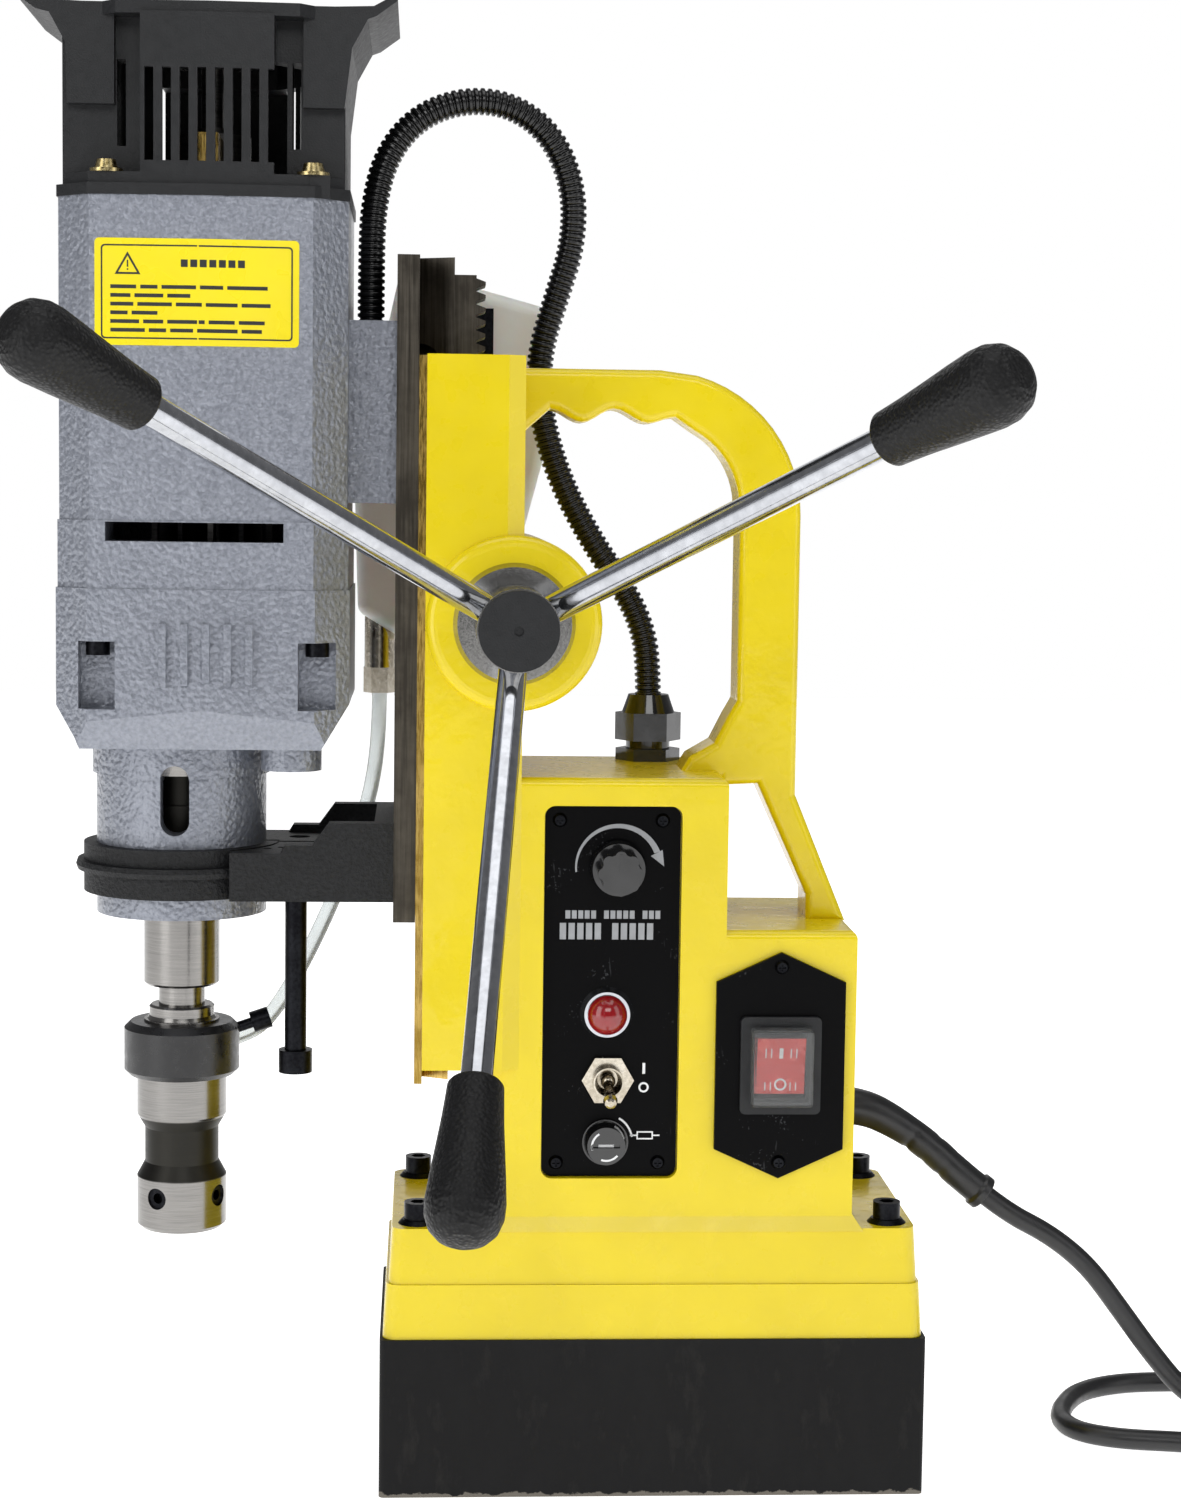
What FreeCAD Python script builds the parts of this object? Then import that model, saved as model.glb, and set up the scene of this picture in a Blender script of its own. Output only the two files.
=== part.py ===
import FreeCAD, Part
import Sketcher
import math
import os

from FreeCAD import Vector, Rotation, Placement

# Magnetic drill press. Millimetres, +Z up, +X to the operator's right, +Y to the back.
# The origin is the centre of the magnet's bottom face.

doc = FreeCAD.newDocument("MagneticDrillPress")
sheet = doc.addObject("Spreadsheet::Sheet", "Sizes")

SIZES = dict(
    # magnet and base
    magnet_length=200, magnet_width=100, magnet_height=58.6, magnet_wall=13,
    coil_slot_width=20, coil_slot_depth=42, coil_gap=0.5, potting_depth=7,
    base_height=19.9, base_inset=1, base_draft=1.2, base_corner=5,
    flange_height=20.3, flange_inset=3, flange_depth_inset=3,
    bolt_inset_x=13.5, bolt_inset_y=14, bolt_size=6, bolt_head=10, bolt_head_height=6.2,
    bolt_reach=32, washer_size=14.4, washer_thick=1.6, fit_gap=0.2, lead_hole=9,
    # stand casting
    box_left=-66, box_right=24.5, box_half=44, box_top=263.6, box_wall=5,
    step_right=72.4, step_top=208.4, casting_round=3,
    column_face=-85.5, column_right=-50.5, column_half=47, column_bevel=6,
    column_foot=157.4, column_top=414, boss_size=63, boss_front=-51,
    handle_half=13.5, handle_round=3, handle_top=411, handle_bottom=394, handle_end=52.75,
    boss_round=4,
    handle_inner=30.2, handle_shoulder=27.6, handle_wave=2.5,
    strut_foot=60,
    # control panel and its parts
    panel_left=-42, panel_right=7.8, panel_foot=117, panel_top=253.5, panel_recess=4.6,
    panel_gap=0.4, panel_thick=1.8, front_wall=8, screw_inset=5.4,
    knob_x=-15.2, knob_z=230.8, knob_skirt=20.6, knob_grip=16, knob_height=15, pot_shaft=6,
    lamp_x=-18.5, lamp_z=177.4, bezel_size=19.6, lens_size=14.3,
    toggle_x=-17.9, toggle_z=153.1, toggle_bush=11, toggle_nut=16.5, toggle_ball=5.4,
    toggle_length=17, toggle_tilt=17,
    fuse_x=-18.5, fuse_z=130.1, fuse_cap_size=16.8,
    # main switch
    hex_x=44.6, hex_half=23.6, hex_foot=117.5, hex_top=200.7, hex_lower=128.3, hex_upper=189.8,
    switch_thick=2, switch_z=159.6, bezel_width=29.4, bezel_height=35.7, bezel_depth=2.4,
    cover_width=21.4, cover_height=27.2, cover_depth=7, rocker_width=17.6, rocker_height=21,
    small_screw=3, small_head=5.3,
    # slide, rack and ways
    slide_left=-96.4, slide_thick=8, slide_half=34, slide_foot=209.3, slide_length=240.2,
    dovetail_depth=12.5, dovetail_neck=17, dovetail_tail=24, run_gap=0.06, gib_thick=3,
    gib_foot=150, gear_module=1.5, pinion_teeth=16, rack_half=8, rack_back=11.5,
    rack_margin=5, rack_gap=0.8,
    # feed shaft and spokes
    feed_z=319, feed_shaft_size=16, bush_flange=43.6, bush_play=1, bush_flange_thick=3.5,
    hub_size=28.6, hub_front=-103, hub_cap_thick=3, spoke_y=-75, spoke_size=10,
    spoke_right=31.1, spoke_left=148.5, spoke_down=263.6,
    tilt_right=48, tilt_left=42.5, tilt_down=43.3, grip_start=185.3, grip_length=54.5,
    grip_small=17.6, grip_big=24.6, rod_start=6,
    # motor
    spindle_x=-175.4, motor_shift=11, motor_left=-215.5, motor_right=-113.7, motor_half=50,
    motor_draft=1.2, motor_foot=354, motor_top=467, motor_wall=4, motor_bevel=12,
    fan_foot=330, vent_left=-198, vent_right=-135.6, vent_foot=346.7,
    gear_foot=273, bracket_right=-96.4, bracket_left=-118, bracket_foot=361, bracket_top=426.5,
    bracket_half=25, cap_top=530, cap_skirt=4, slot_count=8, slot_pitch=6.1, slot_width=3.1,
    slot_left=-184.3, slot_foot=479, slot_top=511, cap_wall=3,
    ear_left=-229.8, ear_right=-97.2, ear_tip=538.9, ear_thick=3.4,
    stator_size=86, stator_foot=378, stator_length=52, core_size=50, fan_size=78,
    # spindle side
    neck_top=65.4, neck_size=62.5, neck_foot=209, neck_step=261, neck_slot=10.4,
    neck_slot_foot=240, neck_slot_top=265.6,
    arm_ring=72, arm_rib=77.8, arm_foot=217, arm_height=18, arm_half=36, arm_top=245.7,
    arm_low=237.5, arm_bolt_x=-132.3, arm_bolt_y=-15, arm_bolt_size=8, arm_bolt_head=12.4,
    arm_bolt_foot=150.5, spindle_size=28.1, spindle_foot=181, arbor_foot=89, arbor_size=33.3,
    arbor_bore=19.05, arbor_waist=27.4, ring_size=42.8, ring_foot=147, ring_top=167,
    shank_size=17.1, layshaft_x=-137.9,
    # coolant
    tank_x=-66, tank_front=58, tank_depth=38, tank_foot=306, tank_top=452.5, hose_size=6,
    # cords
    conduit_size=10, gland_x=0.5, gland_y=30, gland_nut=22, mains_size=8,
    coil_x=346, coil_inner=33, coil_outer=57, coil_height=16, boot_size=14,
    coil_lead=40, lead_angle=250, coil_slack=0.4,
)


class Size:
    """A number together with the sheet expression that gives it."""

    def __init__(self, value, text):
        self.value = float(value)
        self.text = text

    def __add__(self, other):
        other = size(other)
        return Size(self.value + other.value, f"({self.text} + {other.text})")

    def __sub__(self, other):
        other = size(other)
        return Size(self.value - other.value, f"({self.text} - {other.text})")

    def __mul__(self, other):
        other = size(other)
        return Size(self.value * other.value, f"({self.text} * {other.text})")

    def __truediv__(self, other):
        other = size(other)
        return Size(self.value / other.value, f"({self.text} / {other.text})")

    def __neg__(self):
        return Size(-self.value, f"(0 - {self.text})")

    def __radd__(self, other):
        return size(other) + self

    def __rsub__(self, other):
        return size(other) - self

    def __rmul__(self, other):
        return size(other) * self

    def __float__(self):
        return self.value


def size(thing):
    if isinstance(thing, Size):
        return thing
    return Size(thing, f"({thing:.6g})")


class Sheet:
    pass


s = Sheet()
for row, (alias, number) in enumerate(SIZES.items(), start=1):
    sheet.set(f"A{row}", alias.replace("_", " "))
    sheet.set(f"B{row}", str(number))
    sheet.setAlias(f"B{row}", alias)
    setattr(s, alias, Size(number, f"Sizes.{alias}"))
doc.recompute()


def bind(thing, prop, amount):
    thing.setExpression(prop, size(amount).text)


def place(thing, at=(0, 0, 0), turn=None):
    if turn is not None:
        thing.Placement = Placement(Vector(0, 0, 0), turn)
    for axis, amount in zip("xyz", at):
        if isinstance(amount, Size) or amount:
            bind(thing, f"Placement.Base.{axis}", amount)
    return thing


count = [0]


def new(kind, name=None):
    count[0] += 1
    return doc.addObject(kind, name or f"Piece{count[0]}")


def box(x0, x1, y0, y1, z0, z1):
    piece = new("Part::Box")
    for prop, low, high in (("Length", x0, x1), ("Width", y0, y1), ("Height", z0, z1)):
        bind(piece, prop, size(high) - low)
    return place(piece, (x0, y0, z0))


TO_FRONT = Rotation(Vector(1, 0, 0), 90)
TO_BACK = Rotation(Vector(1, 0, 0), -90)
TO_RIGHT = Rotation(Vector(0, 1, 0), 90)


def rod(width, length, at, turn=None):
    piece = new("Part::Cylinder")
    bind(piece, "Radius", size(width) / 2)
    bind(piece, "Height", length)
    return place(piece, at, turn)


def cone(width_1, width_2, length, at, turn=None):
    piece = new("Part::Cone")
    bind(piece, "Radius1", size(width_1) / 2)
    bind(piece, "Radius2", size(width_2) / 2)
    bind(piece, "Height", length)
    return place(piece, at, turn)


def ball(width, at):
    piece = new("Part::Sphere")
    bind(piece, "Radius", size(width) / 2)
    return place(piece, at)


def fuse(*parts):
    piece = new("Part::MultiFuse")
    piece.Shapes = list(parts)
    piece.Refine = True
    return piece


def group(*parts):
    piece = new("Part::Compound")
    piece.Links = list(parts)
    return piece


def cut(base, *tools):
    piece = new("Part::Cut")
    piece.Base = base
    piece.Tool = tools[0] if len(tools) == 1 else fuse(*tools)
    return piece


def common(base, tool):
    piece = new("Part::Common")
    piece.Base = base
    piece.Tool = tool
    return piece


def sketch_on(body, role, outline):
    """A closed outline of straight edges, every corner set from the sheet."""
    sketch = body.newObject("Sketcher::SketchObject", f"{body.Name}Sketch")
    plane = [f for f in body.Origin.OriginFeatures if f.Role == role][0]
    sketch.AttachmentSupport = [(plane, "")]
    sketch.MapMode = "FlatFace"
    corners = [(size(u), size(v)) for u, v in outline]
    n = len(corners)
    lines = []
    for i in range(n):
        a = corners[i]
        b = corners[(i + 1) % n]
        lines.append(Part.LineSegment(Vector(float(a[0]), float(a[1]), 0),
                                      Vector(float(b[0]), float(b[1]), 0)))
    sketch.addGeometry(lines, False)
    links = [Sketcher.Constraint("Coincident", i, 2, (i + 1) % n, 1) for i in range(n)]
    bound = []
    for i, (u, v) in enumerate(corners):
        for kind, axis, amount in (("DistanceX", -2, u), ("DistanceY", -1, v)):
            if abs(amount.value) < 1e-9:
                links.append(Sketcher.Constraint("PointOnObject", i, 1, axis))
            else:
                bound.append((len(links), amount))
                links.append(Sketcher.Constraint(kind, -1, 1, i, 1, amount.value))
    sketch.addConstraint(links)
    for k, (index, amount) in enumerate(bound):
        sketch.renameConstraint(index, f"corner{k}")
        sketch.setExpression(f"Constraints.corner{k}", amount.text)
    return sketch


PLANES = {"Z": "XY_Plane", "Y": "XZ_Plane", "X": "YZ_Plane"}


def new_body():
    count[0] += 1
    return doc.addObject("PartDesign::Body", f"Body{count[0]}")


def pad(outline, normal, start, end, round_by=None, pick=None, bevel=False):
    """An outline in the plane across `normal`, filled from start to end along it."""
    body = new_body()
    sketch = sketch_on(body, PLANES[normal], outline)
    feature = body.newObject("PartDesign::Pad", f"{body.Name}Pad")
    feature.Profile = sketch
    bind(feature, "Length", size(end) - start)
    if normal == "Y":
        # this plane faces -Y, so the pad is measured back from its end
        place(body, (0, end, 0))
    else:
        place(body, (start, 0, 0) if normal == "X" else (0, 0, start))
    doc.recompute()
    if round_by is not None:
        edge_names = [f"Edge{k}" for k, edge in enumerate(feature.Shape.Edges, start=1)
                      if pick(edge)]
        kind = "Chamfer" if bevel else "Fillet"
        dressed = body.newObject(f"PartDesign::{kind}", f"{body.Name}{kind}")
        dressed.Base = (feature, edge_names)
        bind(dressed, "Size" if bevel else "Radius", round_by)
        doc.recompute()
    return body


def turned(outline, at=(0, 0, 0), turn=None):
    """A half section (radius, height) turned about its own upright axis."""
    body = new_body()
    sketch = sketch_on(body, "XZ_Plane", outline)
    feature = body.newObject("PartDesign::Revolution", f"{body.Name}Turn")
    feature.Profile = sketch
    feature.ReferenceAxis = (sketch, ["V_Axis"])
    feature.Angle = 360
    return place(body, at, turn)


def along(axis):
    def pick(edge):
        if edge.Curve.TypeId != "Part::GeomLine":
            return False
        way = edge.tangentAt(edge.FirstParameter)
        return abs(abs(getattr(way, axis)) - 1) < 1e-6
    return pick


def not_along(axis):
    def pick(edge):
        return not along(axis)(edge)
    return pick


def hexagon(x, z, across):
    """Corner points of a hexagon whose flats face up and down."""
    half = size(across) / math.sqrt(3)
    return [(size(x) + half * math.cos(math.radians(60 * k)),
             size(z) + half * math.sin(math.radians(60 * k))) for k in range(6)]


def arc_points(cx, cz, radius, start, end, steps):
    """Corner points along an arc, from start to end in degrees."""
    points = []
    for k in range(steps + 1):
        a = math.radians(start + (end - start) * k / steps)
        points.append((size(cx) + size(radius) * math.cos(a),
                       size(cz) + size(radius) * math.sin(a)))
    return points


def shape_piece(shape):
    piece = new("Part::Feature")
    piece.Shape = shape
    return piece


nodes = {}


def node(name, piece):
    piece.Label = name
    nodes[name] = piece
    return piece


# ---------------------------------------------------------------- magnet and base

half_l = s.magnet_length / 2
half_w = s.magnet_width / 2
slot_x0 = half_l - s.magnet_wall
slot_y0 = half_w - s.magnet_wall
slot_x1 = slot_x0 - s.coil_slot_width
slot_y1 = slot_y0 - s.coil_slot_width


def ring_block(x_out, y_out, x_in, y_in, z0, z1):
    outer = box(-x_out, x_out, -y_out, y_out, z0, z1)
    inner = box(-x_in, x_in, -y_in, y_in, size(z0) - 1, size(z1) + 1)
    return cut(outer, inner)


lead_x = size(-20)
core = pad([(-half_l, -half_w), (half_l, -half_w), (half_l, half_w), (-half_l, half_w)],
           "Z", size(0), s.magnet_height, size(2), along("z"))
coil_slot = ring_block(slot_x0, slot_y0, slot_x1, slot_y1, -1, s.coil_slot_depth)
lead_y = slot_y1 + s.coil_slot_width / 2
node("magnet_core", cut(core, coil_slot,
                        rod(s.lead_hole, s.magnet_height, (lead_x, lead_y, size(5)))))
node("magnet_coil", ring_block(slot_x0 - s.coil_gap, slot_y0 - s.coil_gap,
                               slot_x1 + s.coil_gap, slot_y1 + s.coil_gap,
                               s.potting_depth, s.coil_slot_depth - s.coil_gap))
node("magnet_potting", ring_block(slot_x0, slot_y0, slot_x1, slot_y1,
                                  size(0.4), s.potting_depth))

base_top = s.magnet_height + s.base_height
base_x = half_l - s.base_inset
base_y = half_w - s.base_inset
flange_top = base_top + s.flange_height
flange_x = half_l - s.flange_inset
flange_y = half_w - s.flange_depth_inset
bolt_spots = [(sx * (half_l - s.bolt_inset_x), sy * (half_w - s.bolt_inset_y))
              for sx in (-1, 1) for sy in (-1, 1)]


def wedge(x0, y0, x1, y1, z0, z1):
    """A block that narrows from x0, y0 at the bottom to x1, y1 at the top (half sizes)."""
    piece = new("Part::Wedge")
    for prop, amount in (("Xmin", -x0), ("Xmax", x0), ("Zmin", -y0), ("Zmax", y0),
                         ("X2min", -x1), ("X2max", x1), ("Z2min", -y1), ("Z2max", y1),
                         ("Ymin", size(0)), ("Ymax", size(z1) - z0)):
        bind(piece, prop, amount)
    return place(piece, (0, 0, z0), TO_FRONT)


def rounded(base, radius, pick):
    """Fillet the picked edges of a piece."""
    doc.recompute()
    piece = new("Part::Fillet")
    piece.Base = base
    piece.Edges = [(k, float(radius), float(radius))
                   for k, edge in enumerate(base.Shape.Edges, start=1) if pick(edge)]
    return piece


def steep(edge):
    way = edge.tangentAt(edge.FirstParameter)
    return abs(way.z) > 0.9


def level(edge):
    return not steep(edge)


base_block = rounded(wedge(base_x, base_y, base_x - s.base_draft, base_y - s.base_draft,
                           s.magnet_height, base_top), s.base_corner, steep)
bolt_holes = [rod(s.bolt_size + s.fit_gap, s.bolt_reach + s.washer_thick,
                  (x, y, flange_top - s.bolt_reach - s.fit_gap)) for x, y in bolt_spots]
lead_bore = rod(s.lead_hole, s.base_height + 10, (lead_x, lead_y, s.magnet_height - 1))
node("base_plate", cut(base_block, lead_bore, *bolt_holes))

bolts = []
for x, y in bolt_spots:
    head_z = flange_top + s.washer_thick
    head = rod(s.bolt_head, s.bolt_head_height, (x, y, head_z))
    shank = rod(s.bolt_size, s.bolt_reach + s.washer_thick, (x, y, flange_top - s.bolt_reach))
    socket = pad(hexagon(0, 0, 5), "Z", head_z + s.bolt_head_height - 3,
                 head_z + s.bolt_head_height + 1)
    bind(socket, "Placement.Base.x", x)
    bind(socket, "Placement.Base.y", y)
    bolts.append(cut(fuse(head, shank), socket))
    washer = cone(s.washer_size, s.washer_size - 3, s.washer_thick, (x, y, flange_top))
    bolts.append(cut(washer, rod(s.bolt_size + s.fit_gap, 6, (x, y, flange_top - 1))))
node("base_bolts", group(*bolts))

# ---------------------------------------------------------------- stand casting

flange = rounded(wedge(flange_x, flange_y, flange_x - s.base_draft, flange_y - s.base_draft,
                       base_top, flange_top), s.base_corner, steep)
main_box = pad([(s.box_left, -s.box_half), (s.box_right, -s.box_half),
                (s.box_right, s.box_half), (s.box_left, s.box_half)],
               "Z", flange_top - 2, s.box_top, s.casting_round,
               lambda edge: edge.CenterOfMass.z > 100)
step_box = pad([(s.box_left + 5, -s.box_half), (s.step_right, -s.box_half),
                (s.step_right, s.box_half), (s.box_left + 5, s.box_half)],
               "Z", flange_top - 2, s.step_top, s.casting_round,
               lambda edge: edge.CenterOfMass.z > 60)
foot_fillet = wedge((s.step_right - s.box_left) / 2 + 4, s.box_half + 2.6,
                    (s.step_right - s.box_left) / 2, s.box_half - 0.5, flange_top - 1,
                    flange_top + 5)
bind(foot_fillet, "Placement.Base.x", (s.step_right + s.box_left) / 2)
bev = s.column_bevel
column = pad([(s.column_face, -s.column_half), (s.column_right - bev, -s.column_half),
              (s.column_right, bev / 2 - s.column_half), (s.column_right, s.column_half - bev / 2),
              (s.column_right - bev, s.column_half), (s.column_face, s.column_half)],
             "Z", s.column_foot, s.column_top)
column_root = box(s.column_face, s.box_left + 10, -s.box_half + 2, s.box_half - 2,
                  s.column_foot, s.column_foot + 40)
plate_right = s.slide_left + s.slide_thick
groove_bottom = plate_right + s.dovetail_depth
rack_tip = groove_bottom + s.rack_back
feed_x = rack_tip + s.gear_module * (s.pinion_teeth / 2 - 1)
# the bushes are bored large enough for the pinion to pass
bush_sleeve = s.gear_module * (s.pinion_teeth + 2) + s.bush_play
boss_length = -2 * s.boss_front
boss_edge = arc_points(s.boss_size / 2 - s.boss_round, boss_length - s.boss_round, s.boss_round,
                       0, 90, 5)
boss = turned([(0, 0), (s.boss_size / 2, 0), *boss_edge, (0, boss_length)],
              (feed_x, -s.boss_front, s.feed_z), TO_FRONT)

# carrying handle with finger grips, and the strut down to the step
span = s.handle_shoulder - s.column_right
# finger grooves: each crest and hollow as a share of the span, and of the wave's depth
crests = [(0.13, 0.9), (0.28, -1.0), (0.43, 1.0), (0.59, -1.0), (0.72, -0.1)]
wave = []
for (near, rise), (far, fall) in zip(crests, crests[1:]):
    for k in range(5):
        lift = (rise + fall) / 2 + (rise - fall) / 2 * math.cos(math.pi * k / 5)
        wave.append((s.column_right + span * (near + (far - near) * k / 5),
                     s.handle_bottom + s.handle_wave * lift))
wave.append((s.column_right + span * crests[-1][0],
             s.handle_bottom + s.handle_wave * crests[-1][1]))
handle_outer = [(s.column_right - 4, s.handle_top), (size(0), s.handle_top)]
handle_outer += arc_points(s.handle_end - 52.75, s.handle_top - 52.75, 52.75, 75, 0, 12)
lower_z = s.box_top - 9
handle_outer += [(s.handle_end, lower_z), (s.handle_end + 19.6, s.step_top - 1),
                 (s.strut_foot - 2.5, s.step_top - 1), (s.strut_foot - 2.7, s.step_top + 9.1),
                 (s.handle_end - 14.3, s.box_top - 4.8), (s.box_right - 1, s.box_top - 5.6),
                 (s.box_right - 1, s.box_top - 3), (size(8), s.box_top - 3)]
handle_inner = [(size(13), s.box_top + 5.1), (s.handle_inner - 8.2, s.box_top + 10.4),
                (s.handle_inner - 3.2, s.box_top + 20.4), (s.handle_inner, s.box_top + 26),
                (s.handle_inner, s.handle_top - 58)]
handle_inner += arc_points(s.handle_inner - 32, s.handle_top - 50, 31.5, 8, 62, 9)
handle_outline = handle_outer + handle_inner + list(reversed(wave)) + [
    (s.column_right + 2, s.handle_bottom - 5), (s.column_right - 4, s.handle_bottom - 12)]
handle = pad(handle_outline, "Y", -s.handle_half, s.handle_half, s.handle_round,
             lambda edge: not along("y")(edge))

cavity = box(s.box_left + s.box_wall, s.box_right - s.box_wall,
             -s.box_half + s.front_wall, s.box_half - s.box_wall,
             base_top + 6, s.box_top - s.box_wall)
step_cavity = box(s.box_right - 10, s.step_right - s.box_wall,
                  -s.box_half + s.front_wall, s.box_half - s.box_wall,
                  base_top + 6, s.step_top - s.box_wall)
panel_back = s.panel_recess - s.box_half
recess = pad([(s.panel_left, s.panel_foot), (s.panel_right, s.panel_foot),
              (s.panel_right, s.panel_top), (s.panel_left, s.panel_top)],
             "Y", -s.box_half - 5, panel_back, size(4), along("y"))
window = box(s.panel_left + 10, s.panel_right - 10, -s.box_half - 1, -s.box_half + 14,
             s.panel_foot + 6.2, s.panel_top - 9)
switch_z0 = s.switch_z - s.cover_height / 2
switch_hole = box(s.hex_x - s.cover_width / 2 - 1, s.hex_x + s.cover_width / 2 + 1,
                  -s.box_half - 1, -s.box_half + 14, switch_z0 - 1,
                  s.switch_z + s.cover_height / 2 + 1)
rear_x0 = s.panel_left + 4
rear_x1 = s.panel_right
rear_z0 = s.panel_foot + 6
rear_z1 = s.panel_top - 16
rear_window = box(rear_x0 + 8, rear_x1 - 8, s.box_half - 10, s.box_half + 2,
                  rear_z0 + 8, rear_z1 - 8)
neck_gap = s.dovetail_neck + s.gib_thick
tail_gap = s.dovetail_tail + s.gib_thick
slope = (s.dovetail_tail - s.dovetail_neck) / s.dovetail_depth
groove = pad([(plate_right, -neck_gap), (groove_bottom + 0.5, -tail_gap - slope * 0.5),
              (groove_bottom + 0.5, tail_gap + slope * 0.5), (plate_right, neck_gap)],
             "Z", s.column_foot - 5, s.column_top + 5)
rack_way = box(groove_bottom - 1, rack_tip + 1.2, -s.rack_half - s.rack_gap,
               s.rack_half + s.rack_gap, flange_top + 12, s.column_top + 5)
feed_bore = rod(bush_sleeve, -2 * s.boss_front + 2, (feed_x, -s.boss_front + 1, s.feed_z),
                TO_FRONT)
gland_bore = rod(size(16), 12, (s.gland_x, s.gland_y, s.box_top - 8))
cord_y = size(15)
cord_z = size(131.6) - s.mains_size / 8 + 1
boot_bore = rod(s.mains_size + 4, 12, (s.step_right - 8, cord_y, cord_z), TO_RIGHT)

panel_screw_spots = [(s.panel_left + s.screw_inset + 0.2, s.panel_top - s.screw_inset),
                     (s.panel_right - s.screw_inset - 1.6, s.panel_top - s.screw_inset),
                     (s.panel_left + s.screw_inset + 0.2, s.panel_foot + s.screw_inset),
                     (s.panel_right - s.screw_inset - 1.6, s.panel_foot + s.screw_inset)]
hex_screw_spots = [(s.hex_x, s.hex_top - 5.2), (s.hex_x, s.hex_foot + 6)]
rear_screw_spots = [(x, z) for x in (rear_x0 + 4, rear_x1 - 4) for z in (rear_z0 + 4, rear_z1 - 4)]
screw_holes = []
for x, z in panel_screw_spots:
    screw_holes.append(rod(s.small_screw, 7, (x, panel_back + 5, z), TO_FRONT))
for x, z in hex_screw_spots:
    screw_holes.append(rod(s.small_screw, 7, (x, -s.box_half + 6, z), TO_FRONT))
for x, z in rear_screw_spots:
    screw_holes.append(rod(s.small_screw, 5.2, (x, s.box_half + 1, z), TO_FRONT))

stand_outside = fuse(flange, main_box, step_box, foot_fillet, column, column_root, boss, handle)
node("stand_casting", cut(stand_outside, cavity, step_cavity, recess, window, switch_hole,
                          rear_window, groove, rack_way, feed_bore, gland_bore, boot_bore,
                          rod(s.lead_hole, 20, (lead_x, lead_y, base_top - 1)),
                          *[rod(s.bolt_size + s.fit_gap, s.bolt_reach + 20,
                                (x, y, base_top - 1)) for x, y in bolt_spots],
                          *screw_holes))

# ---------------------------------------------------------------- panels and controls

plate_front = panel_back - s.panel_thick
panel = pad([(s.panel_left + s.panel_gap, s.panel_foot + s.panel_gap),
             (s.panel_right - s.panel_gap, s.panel_foot + s.panel_gap),
             (s.panel_right - s.panel_gap, s.panel_top - s.panel_gap),
             (s.panel_left + s.panel_gap, s.panel_top - s.panel_gap)],
            "Y", plate_front, panel_back, size(3.6), along("y"))


def through(width, x, z):
    return rod(width, 30, (x, 10 - s.box_half, z), TO_FRONT)


node("control_panel", cut(panel, through(7.2, s.knob_x, s.knob_z),
                          through(12.2, s.lamp_x, s.lamp_z),
                          through(s.toggle_bush + 0.2, s.toggle_x, s.toggle_z),
                          through(12.2, s.fuse_x, s.fuse_z),
                          *[through(s.small_screw + s.fit_gap, x, z)
                            for x, z in panel_screw_spots]))
hex_outline = [(s.hex_x, s.hex_foot), (s.hex_x + s.hex_half, s.hex_lower),
               (s.hex_x + s.hex_half, s.hex_upper), (s.hex_x, s.hex_top),
               (s.hex_x - s.hex_half, s.hex_upper), (s.hex_x - s.hex_half, s.hex_lower)]
switch_front = -s.box_half - s.switch_thick
node("switch_panel", cut(pad(hex_outline, "Y", switch_front, -s.box_half),
                         box(s.hex_x - s.cover_width / 2, s.hex_x + s.cover_width / 2,
                             -s.box_half - 5, -s.box_half + 5,
                             switch_z0, s.switch_z + s.cover_height / 2),
                         *[through(s.small_screw + s.fit_gap, x, z)
                           for x, z in hex_screw_spots]))
node("rear_cover", cut(pad([(rear_x0, rear_z0), (rear_x1, rear_z0), (rear_x1, rear_z1),
                            (rear_x0, rear_z1)], "Y", s.box_half, s.box_half + 1.5,
                           size(3), along("y")),
                       *[rod(s.small_screw + s.fit_gap, 6, (x, s.box_half + 3, z), TO_FRONT)
                         for x, z in rear_screw_spots]))


def small_screw(x, face, z, faces_back=False):
    """Pan-head screw with a cross recess, its head standing on the plane y = face."""
    out = TO_BACK if faces_back else TO_FRONT
    sign = 1 if faces_back else -1
    head = cone(s.small_head, s.small_head - 1.6, 1.6, (x, face, z), out)
    shank = rod(s.small_screw - 0.1, 5.5, (x, size(face) - sign * 5, z), out)
    deep = size(face) + sign * 0.8
    past = size(face) + sign * 3
    low, high = (deep, past) if faces_back else (past, deep)
    slot_a = box(x - 1.3, x + 1.3, low, high, z - 0.3, z + 0.3)
    slot_b = box(x - 0.3, x + 0.3, low, high, z - 1.3, z + 1.3)
    return cut(fuse(head, shank), slot_a, slot_b)


node("panel_screws", group(*[small_screw(x, plate_front, z) for x, z in panel_screw_spots],
                           *[small_screw(x, switch_front, z) for x, z in hex_screw_spots],
                           *[small_screw(x, s.box_half + 1.5, z, True)
                             for x, z in rear_screw_spots]))

# speed control: can and threaded bush behind the panel, shaft and lobed knob in front
node("speed_pot", cut(fuse(rod(24, 10, (s.knob_x, panel_back + 10, s.knob_z), TO_FRONT),
                           rod(7, 7.8, (s.knob_x, panel_back + 4, s.knob_z), TO_FRONT)),
                      rod(s.pot_shaft + 0.1, 30, (s.knob_x, panel_back + 8, s.knob_z), TO_FRONT)))
knob_back = plate_front - 2.2
lobes = [rod(4.4, s.knob_height - 4, (s.knob_x + 5.9 * math.cos(math.radians(45 * k)),
                                      knob_back - 4,
                                      s.knob_z + 5.9 * math.sin(math.radians(45 * k))), TO_FRONT)
         for k in range(8)]
pointer = box(s.knob_x - 0.5, s.knob_x + 0.5, knob_back - s.knob_height - 0.3,
              knob_back - s.knob_height + 2, s.knob_z + 1, s.knob_z + 7)
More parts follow.
